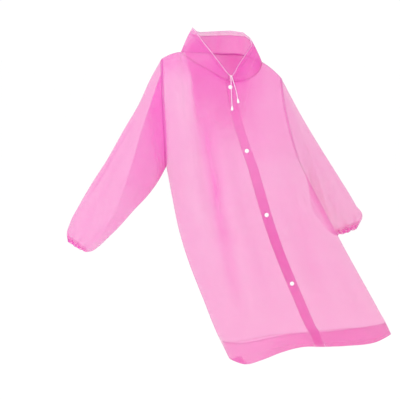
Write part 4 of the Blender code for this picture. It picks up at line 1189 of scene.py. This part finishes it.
fade_in[:2, 0] = (0.05, 0.30)
fade_in = fade_in + (1 - fade_in) * in_opening
collar_layers = read(COLLAR_LAYERS, "films", collar_turn) * pale_rim * fade_in
up = from_foot / from_foot[-1:]
for place, width, height, more in zip(*COLLAR_DENSE.values()):
    collar_layers += more * bump(collar_turn - place, width) * (1 - step(up, 0.2 * height, height)) * fade_in
collar_layers += SEAM_TONE * in_opening * foot_weld + RIM_WELD_TONE * rim_weld
film["collar"] = film_sheet("film_collar", collar_film, collar_layers, np.maximum(foot_weld, rim_weld))

# %% [markdown]
# ## Snaps
# Four white plastic snaps close the lap. Outside each shows a domed cap with a rolled rim and a small
# dimple. The flat back lies inside the lowest layer, where a wearer would feel it.

# %% The snaps
SNAP_RADIUS = 0.0075
SNAP_HEIGHTS = (-0.104, -0.333, -0.564, -0.812)
SNAP_ROOM = 0.0005
CAP = [                         # share of the snap's radius, and height in metres
    (0.0, 0.0027), (0.10, 0.0027), (0.18, 0.0031), (0.45, 0.0030), (0.64, 0.0026), (0.78, 0.0019),
    (0.84, 0.0016), (0.90, 0.0017), (1.0, 0.0013), (1.0, 0.0003), (0.96, 0.0), (0.5, 0.0), (0.0, 0.0),
]
BACK_DISC = [                   # radius and height in metres
    (0.0, 0.0008), (0.0018, 0.0008), (0.0022, 0.0015), (0.0052, 0.0015), (0.0060, 0.0011), (0.0060, 0.0003),
    (0.0056, 0.0), (0.003, 0.0), (0.0, 0.0),
]
CAP_STAND = 0.0006 + SNAP_ROOM  # from the upper front's middle to the cap
BACK_STAND = LAYER + 0.0006 + SNAP_ROOM + 0.0015    # and from the lower front's middle to the back's far side

snap_normals = outward(upper_front, inside_of(upper_front))[:, LAP_CENTRE]
cap_line, back_line = upper_front[:, LAP_CENTRE], front[:, LAP_CENTRE]
snaps = {}
for number, height in enumerate(SNAP_HEIGHTS, 1):
    row = np.interp(-height, -cap_line[:, 2], np.arange(len(cap_line)))
    k = min(int(row), len(cap_line) - 2)
    t = row - k
    normal = snap_normals[k] * (1 - t) + snap_normals[k + 1] * t
    normal /= np.linalg.norm(normal)
    outside = cap_line[k] * (1 - t) + cap_line[k + 1] * t + normal * CAP_STAND
    inside = back_line[k] * (1 - t) + back_line[k + 1] * t - normal * BACK_STAND
    cap_radii, cap_heights = rounded(np.array(CAP) * (SNAP_RADIUS, 1.0), 1)
    back_radii, back_heights = rounded(BACK_DISC, 1)
    snaps[f"snap_cap_{number}"] = turned(f"snap_dome_{number}", cap_radii, cap_heights, outside, normal)
    snaps[f"snap_back_{number}"] = turned(f"snap_disc_{number}", back_radii, back_heights, inside, normal)
print("snaps:", len(snaps), "pieces")

# %% [markdown]
# ## Shader maths as plain Python
# A film's finish is an expression on values: how many layers, how far along, how rough. Wrapping a socket
# in a small class lets the expression be written as it is read, and each operator adds its Math node.

# %% A socket that can be reckoned with
class Value:
    """One output socket of a material's nodes, with the operators that the finishes use."""

    def __init__(self, finish, socket):
        self.finish = finish
        self.socket = socket

    def math(self, operation, first, second):
        return self.finish.node("ShaderNodeMath", {"operation": operation}, {0: first, 1: second})

    def __add__(self, other):
        return self.math("ADD", self, other)

    def __radd__(self, other):
        return self.math("ADD", other, self)

    def __sub__(self, other):
        return self.math("SUBTRACT", self, other)

    def __rsub__(self, other):
        return self.math("SUBTRACT", other, self)

    def __mul__(self, other):
        return self.math("MULTIPLY", self, other)

    def __rmul__(self, other):
        return self.math("MULTIPLY", other, self)

    def __rpow__(self, other):
        return self.math("POWER", other, self)


class Finish:
    """One procedural material. node() adds any node: its type, its settings, and the values or links of
    its inputs."""

    def __init__(self, name, **constants):
        self.material = bpy.data.materials.new(name)
        self.material.use_nodes = True
        self.tree = self.material.node_tree
        self.shader = self.tree.nodes["Principled BSDF"]
        for label, value in constants.items():
            self.shader.inputs[label.replace("_", " ")].default_value = value

    def node(self, kind, settings=None, inputs=None, output=0):
        made = self.tree.nodes.new(kind)
        for name, value in (settings or {}).items():
            setattr(made, name, value)
        for name, value in (inputs or {}).items():
            self.feed(made.inputs[name], value)
        return Value(self, made.outputs[output])

    def feed(self, socket, value):
        if isinstance(value, Value):
            self.tree.links.new(value.socket, socket)
        else:
            socket.default_value = value

    def set(self, label, value):
        self.feed(self.shader.inputs[label], value)

    def attribute(self, name):
        return self.node("ShaderNodeAttribute", {"attribute_name": name}, output="Fac")

    def place(self):
        return self.node("ShaderNodeTexCoord", output="Object")

    def cut(self):
        return self.node("ShaderNodeUVMap", {"uv_map": "cut"})

    def axis(self, vector, which):
        return self.node("ShaderNodeSeparateXYZ", {}, {0: vector}, output=which)

    def noise(self, vector, scale, detail=3.0, rough=0.5):
        inputs = {"Vector": vector, "Scale": scale, "Detail": detail, "Roughness": rough}
        return self.node("ShaderNodeTexNoise", {}, inputs)

    def wave(self, value):
        return self.node("ShaderNodeMath", {"operation": "SINE"}, {0: value})

    def blend(self, factor, first, second):
        mixed = {"Factor": factor, "A": first, "B": second}
        made = self.tree.nodes.new("ShaderNodeMix")
        made.data_type = "RGBA"
        for socket in made.inputs:
            if socket.type == ("RGBA" if socket.name in "AB" else "VALUE") and socket.name in mixed:
                self.feed(socket, mixed[socket.name])
        return Value(self, next(s for s in made.outputs if s.type == "RGBA"))

    def relief(self, height, distance, strength=1.0):
        inputs = {"Height": height, "Distance": distance, "Strength": strength}
        self.set("Normal", self.node("ShaderNodeBump", {}, inputs))


# %% [markdown]
# ## The clear pink film
# The film is a matte, lightly frosted plastic. One film lets more than half of the light through, and every
# film behind it makes the pink deeper. So the material's alpha is worked out from films_and_shade, painted
# shade included: what passes one film, multiplied by itself once for each film counted. The shell has two
# faces, and each of them counts once.
# The film also has a frost that makes it thicker and thinner from one millimetre to the next, a fine
# crinkle, a slow drift of its colour, and a knurled strip on each weld.

# %% The film's material
FACE_ALPHA = 0.226              # what one face of the film hides
FILM_MAGENTA = (0.885, 0.078, 0.580, 1.0)
FILM_CORAL = (0.870, 0.100, 0.490, 1.0)
WELD_PITCH = 0.0016             # metres between the knurls of a weld

clear_film = Finish("clear_pink_film", Specular_IOR_Level=0.30, Metallic=0.0)
place, cut = clear_film.place(), clear_film.cut()
x, z = clear_film.axis(place, "X"), clear_film.axis(place, "Z")
films_and_shade, weld = clear_film.attribute("films_and_shade"), clear_film.attribute("weld")
cloudy = clear_film.noise(place, 7.0, 4.0)
drift = 0.35 + 0.55 * x - 0.35 * z + 0.5 * (cloudy - 0.5)
clear_film.set("Base Color", clear_film.blend(drift, FILM_MAGENTA, FILM_CORAL))
frost = clear_film.noise(cut, 900.0, 2.0)
thickness = (0.93 + 0.14 * clear_film.noise(place, 16.0, 5.0)) * (0.64 + 0.72 * frost)
# alpha from the film count, which also carries painted shade
clear_film.set("Alpha", 1 - (1 - FACE_ALPHA) ** (films_and_shade * thickness))
clear_film.set("Roughness", 0.34 + 0.10 * frost + 0.10 * weld)
u, v = clear_film.axis(cut, "X"), clear_film.axis(cut, "Y")
turns = 2 * np.pi / WELD_PITCH
knurl = clear_film.wave(u * turns) * clear_film.wave(v * turns)
crinkle = clear_film.noise(place, 26.0, 5.0, 0.55)
clear_film.relief(crinkle + frost * 0.05 + weld * knurl * 0.20, 0.0030, 0.55)
print("film:", len(clear_film.tree.nodes), "nodes")

# %% [markdown]
# ## Elastic, cord and white plastic
# The elastic is a thin ribbed tape, dyed like the film and nearly as clear, and darker between its ribs as
# painted shade. The cord is braided: two sets of slanting strands cross round it, one slant for each way, and
# the deeper one of them at each place is the gap between them, darker there as painted shade. Both carry a
# faint random mottle too. The white plastic is a plain moulded one with a faint unevenness that only its
# sheen shows.

# %% The other materials
RIB_PITCH = 0.0015              # metres between the elastic's ribs, and between its yarns
YARN_PITCH = 0.0011
STRANDS = 4                     # strands of the cord's braid for each way round
BRAID_PITCH = 0.0060            # metres along the cord in which a strand goes once round

pink_elastic = Finish("pink_elastic", Specular_IOR_Level=0.3, Metallic=0.0, Alpha=0.12)
cut = pink_elastic.cut()
u, v = pink_elastic.axis(cut, "X"), pink_elastic.axis(cut, "Y")
rib = 0.5 + 0.5 * pink_elastic.wave(v * (2 * np.pi / RIB_PITCH))
yarn = 0.5 + 0.5 * pink_elastic.wave(u * (2 * np.pi / YARN_PITCH))
# painted shade between the ribs, with a faint random mottle
groove_shade_and_mottle = 0.25 + 0.5 * rib + 0.25 * pink_elastic.noise(cut, 500.0, 3.0)
pink_elastic.set("Base Color", pink_elastic.blend(groove_shade_and_mottle, (0.74, 0.06, 0.33, 1.0), (0.86, 0.11, 0.47, 1.0)))
pink_elastic.set("Roughness", 0.70 - 0.12 * yarn)
pink_elastic.relief(rib * 0.7 + yarn * 0.3, 0.0003, 0.8)

white_cord = Finish("white_cord", Specular_IOR_Level=0.3, Metallic=0.0)
cut = white_cord.cut()
u, v = white_cord.axis(cut, "X"), white_cord.axis(cut, "Y")
strands = STRANDS * 2 * np.pi
one_way = white_cord.wave(u * strands + v * (strands / BRAID_PITCH))
other_way = white_cord.wave(u * strands - v * (strands / BRAID_PITCH))
braid = 0.5 + 0.5 * one_way * other_way
fuzz = white_cord.noise(white_cord.place(), 2400.0, 3.0)
# painted shade in the gaps of the braid, with a faint random fuzz
groove_shade_and_mottle = 0.7 * braid + 0.3 * fuzz
white_cord.set("Base Color", white_cord.blend(groove_shade_and_mottle, (0.80, 0.68, 0.78, 1.0), (0.95, 0.87, 0.93, 1.0)))
white_cord.set("Roughness", 0.62 + 0.15 * fuzz)
white_cord.relief(braid + fuzz * 0.2, 0.0002, 0.8)

white_plastic = Finish("white_plastic", Specular_IOR_Level=0.45, Metallic=0.0, Coat_Roughness=0.2)
uneven = white_plastic.noise(white_plastic.place(), 350.0, 3.0)
white_plastic.set("Base Color", white_plastic.blend(uneven, (0.90, 0.89, 0.89, 1.0), (0.96, 0.95, 0.95, 1.0)))
white_plastic.set("Roughness", 0.30 + 0.14 * uneven)
white_plastic.relief(uneven, 0.0001, 0.3)
print("materials:", [m.name for m in bpy.data.materials if m.use_nodes][-4:])

# %% [markdown]
# ## Putting the coat together
# Every piece rides on the coat's one body, stands for its imported solid and takes its material.

# %% Riding and replacing
def put_on(piece, finish, slot, *nodes):
    """Gives a piece its material, ties it to the coat's body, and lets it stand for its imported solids."""
    piece.data.materials.append(finish.material)
    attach(piece, "root")
    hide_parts(*nodes)


for node, (piece, flat, area) in film.items():
    nodes = [f"{node}_front", f"{node}_back"] if node.startswith("sleeve") else [node]
    put_on(piece, clear_film, "clear_pink_film", *nodes)
for side, (piece, flat, area) in elastic.items():
    put_on(piece, pink_elastic, "pink_elastic", f"elastic_{side}")
put_on(drawstring, white_cord, "white_cord", "drawstring")
for side, (cord, path, length) in cord_ends.items():
    put_on(cord, white_cord, "white_cord", f"cord_end_{side}")
    put_on(beads[side], white_plastic, "white_plastic", f"bead_{side}")
for node, piece in snaps.items():
    put_on(piece, white_plastic, "white_plastic", node)
print("pieces:", len(film) + len(elastic) + len(snaps) + 5)

# %% [markdown]
# ## Floor, light and the way the picture is seen
# The photograph is lit evenly and its ground is white, so the world is plain white light. A large soft lamp
# at the upper left gives the folds a little form. The floor lies where a wearer's feet would be. Cycles
# stops after 8 clear surfaces unless it is told otherwise, and a coat of two-faced films in many layers
# needs more.

# %% Floor and light
FLOOR = -1.50                   # where a wearer's feet would be
FLOOR_HALF = 150.0              # it reaches past the picture on every side
WORLD_LIGHT = 1.03
LAMP_POWER = 60.0               # watts
LAMP_SIZE = 3.0
LAMP_PLACE = (-2.5, -4.0, 2.5)
LAMP_TILT, LAMP_TURN = 55, -32  # degrees
CLEAR_SURFACES = 96             # how many clear surfaces a ray may pass

half = FLOOR_HALF * np.array([(-1, -1), (1, -1), (1, 1), (-1, 1)])
ground = np.concatenate([half, np.full((4, 1), FLOOR)], axis=1)
floor = add_mesh("floor", ground, [(0, 1, 2, 3)], half)
paper = Finish("floor_paper", Specular_IOR_Level=0.0, Metallic=0.0, Roughness=0.9)
grain = paper.noise(paper.place(), 12.0, 2.0)
paper.set("Base Color", paper.blend(grain, (0.97, 0.97, 0.97, 1.0), (0.98, 0.98, 0.98, 1.0)))
floor.data.materials.append(paper.material)

world = bpy.data.worlds.new("studio")
world.use_nodes = True
world.node_tree.nodes["Background"].inputs["Color"].default_value = (1.0, 1.0, 1.0, 1.0)
world.node_tree.nodes["Background"].inputs["Strength"].default_value = WORLD_LIGHT
bpy.context.scene.world = world

lamp_data = bpy.data.lights.new("soft_lamp", "AREA")
lamp_data.energy = LAMP_POWER
lamp_data.shape = "DISK"
lamp_data.size = LAMP_SIZE
lamp = bpy.data.objects.new("soft_lamp", lamp_data)
lamp.location = LAMP_PLACE
lamp.rotation_euler = (np.radians(LAMP_TILT), 0.0, np.radians(LAMP_TURN))
bpy.context.scene.collection.objects.link(lamp)

bpy.context.scene.view_settings.view_transform = "Standard"
bpy.context.scene.cycles.transparent_max_bounces = CLEAR_SURFACES
print("floor at", FLOOR, "m")

# %% [markdown]
# ## Check and finish
# A turned piece or a walled sheet must have its faces outwards, which a positive volume shows.

# %% Check and finish
graph = bpy.context.evaluated_depsgraph_get()
for piece in list(bpy.context.scene.objects):
    if piece.type != "MESH" or piece.hide_render or piece == floor:
        continue
    mesh = piece.evaluated_get(graph).to_mesh()
    mesh.calc_loop_triangles()
    points = np.empty(len(mesh.vertices) * 3, np.float32)
    mesh.vertices.foreach_get("co", points)
    faces = np.empty(len(mesh.loop_triangles) * 3, np.int32)
    mesh.loop_triangles.foreach_get("vertices", faces)
    a, b, c = np.moveaxis(points.reshape(-1, 3).astype(float)[faces.reshape(-1, 3)], 1, 0)
    volume = np.sum(a * np.cross(b, c)) / 6
    outwards = "" if volume > 0 else " INSIDE OUT"
    print(f"{piece.name}: {len(faces) // 3} triangles, {volume * 1e6:.2f} cm3{outwards}")
    piece.evaluated_get(graph).to_mesh_clear()
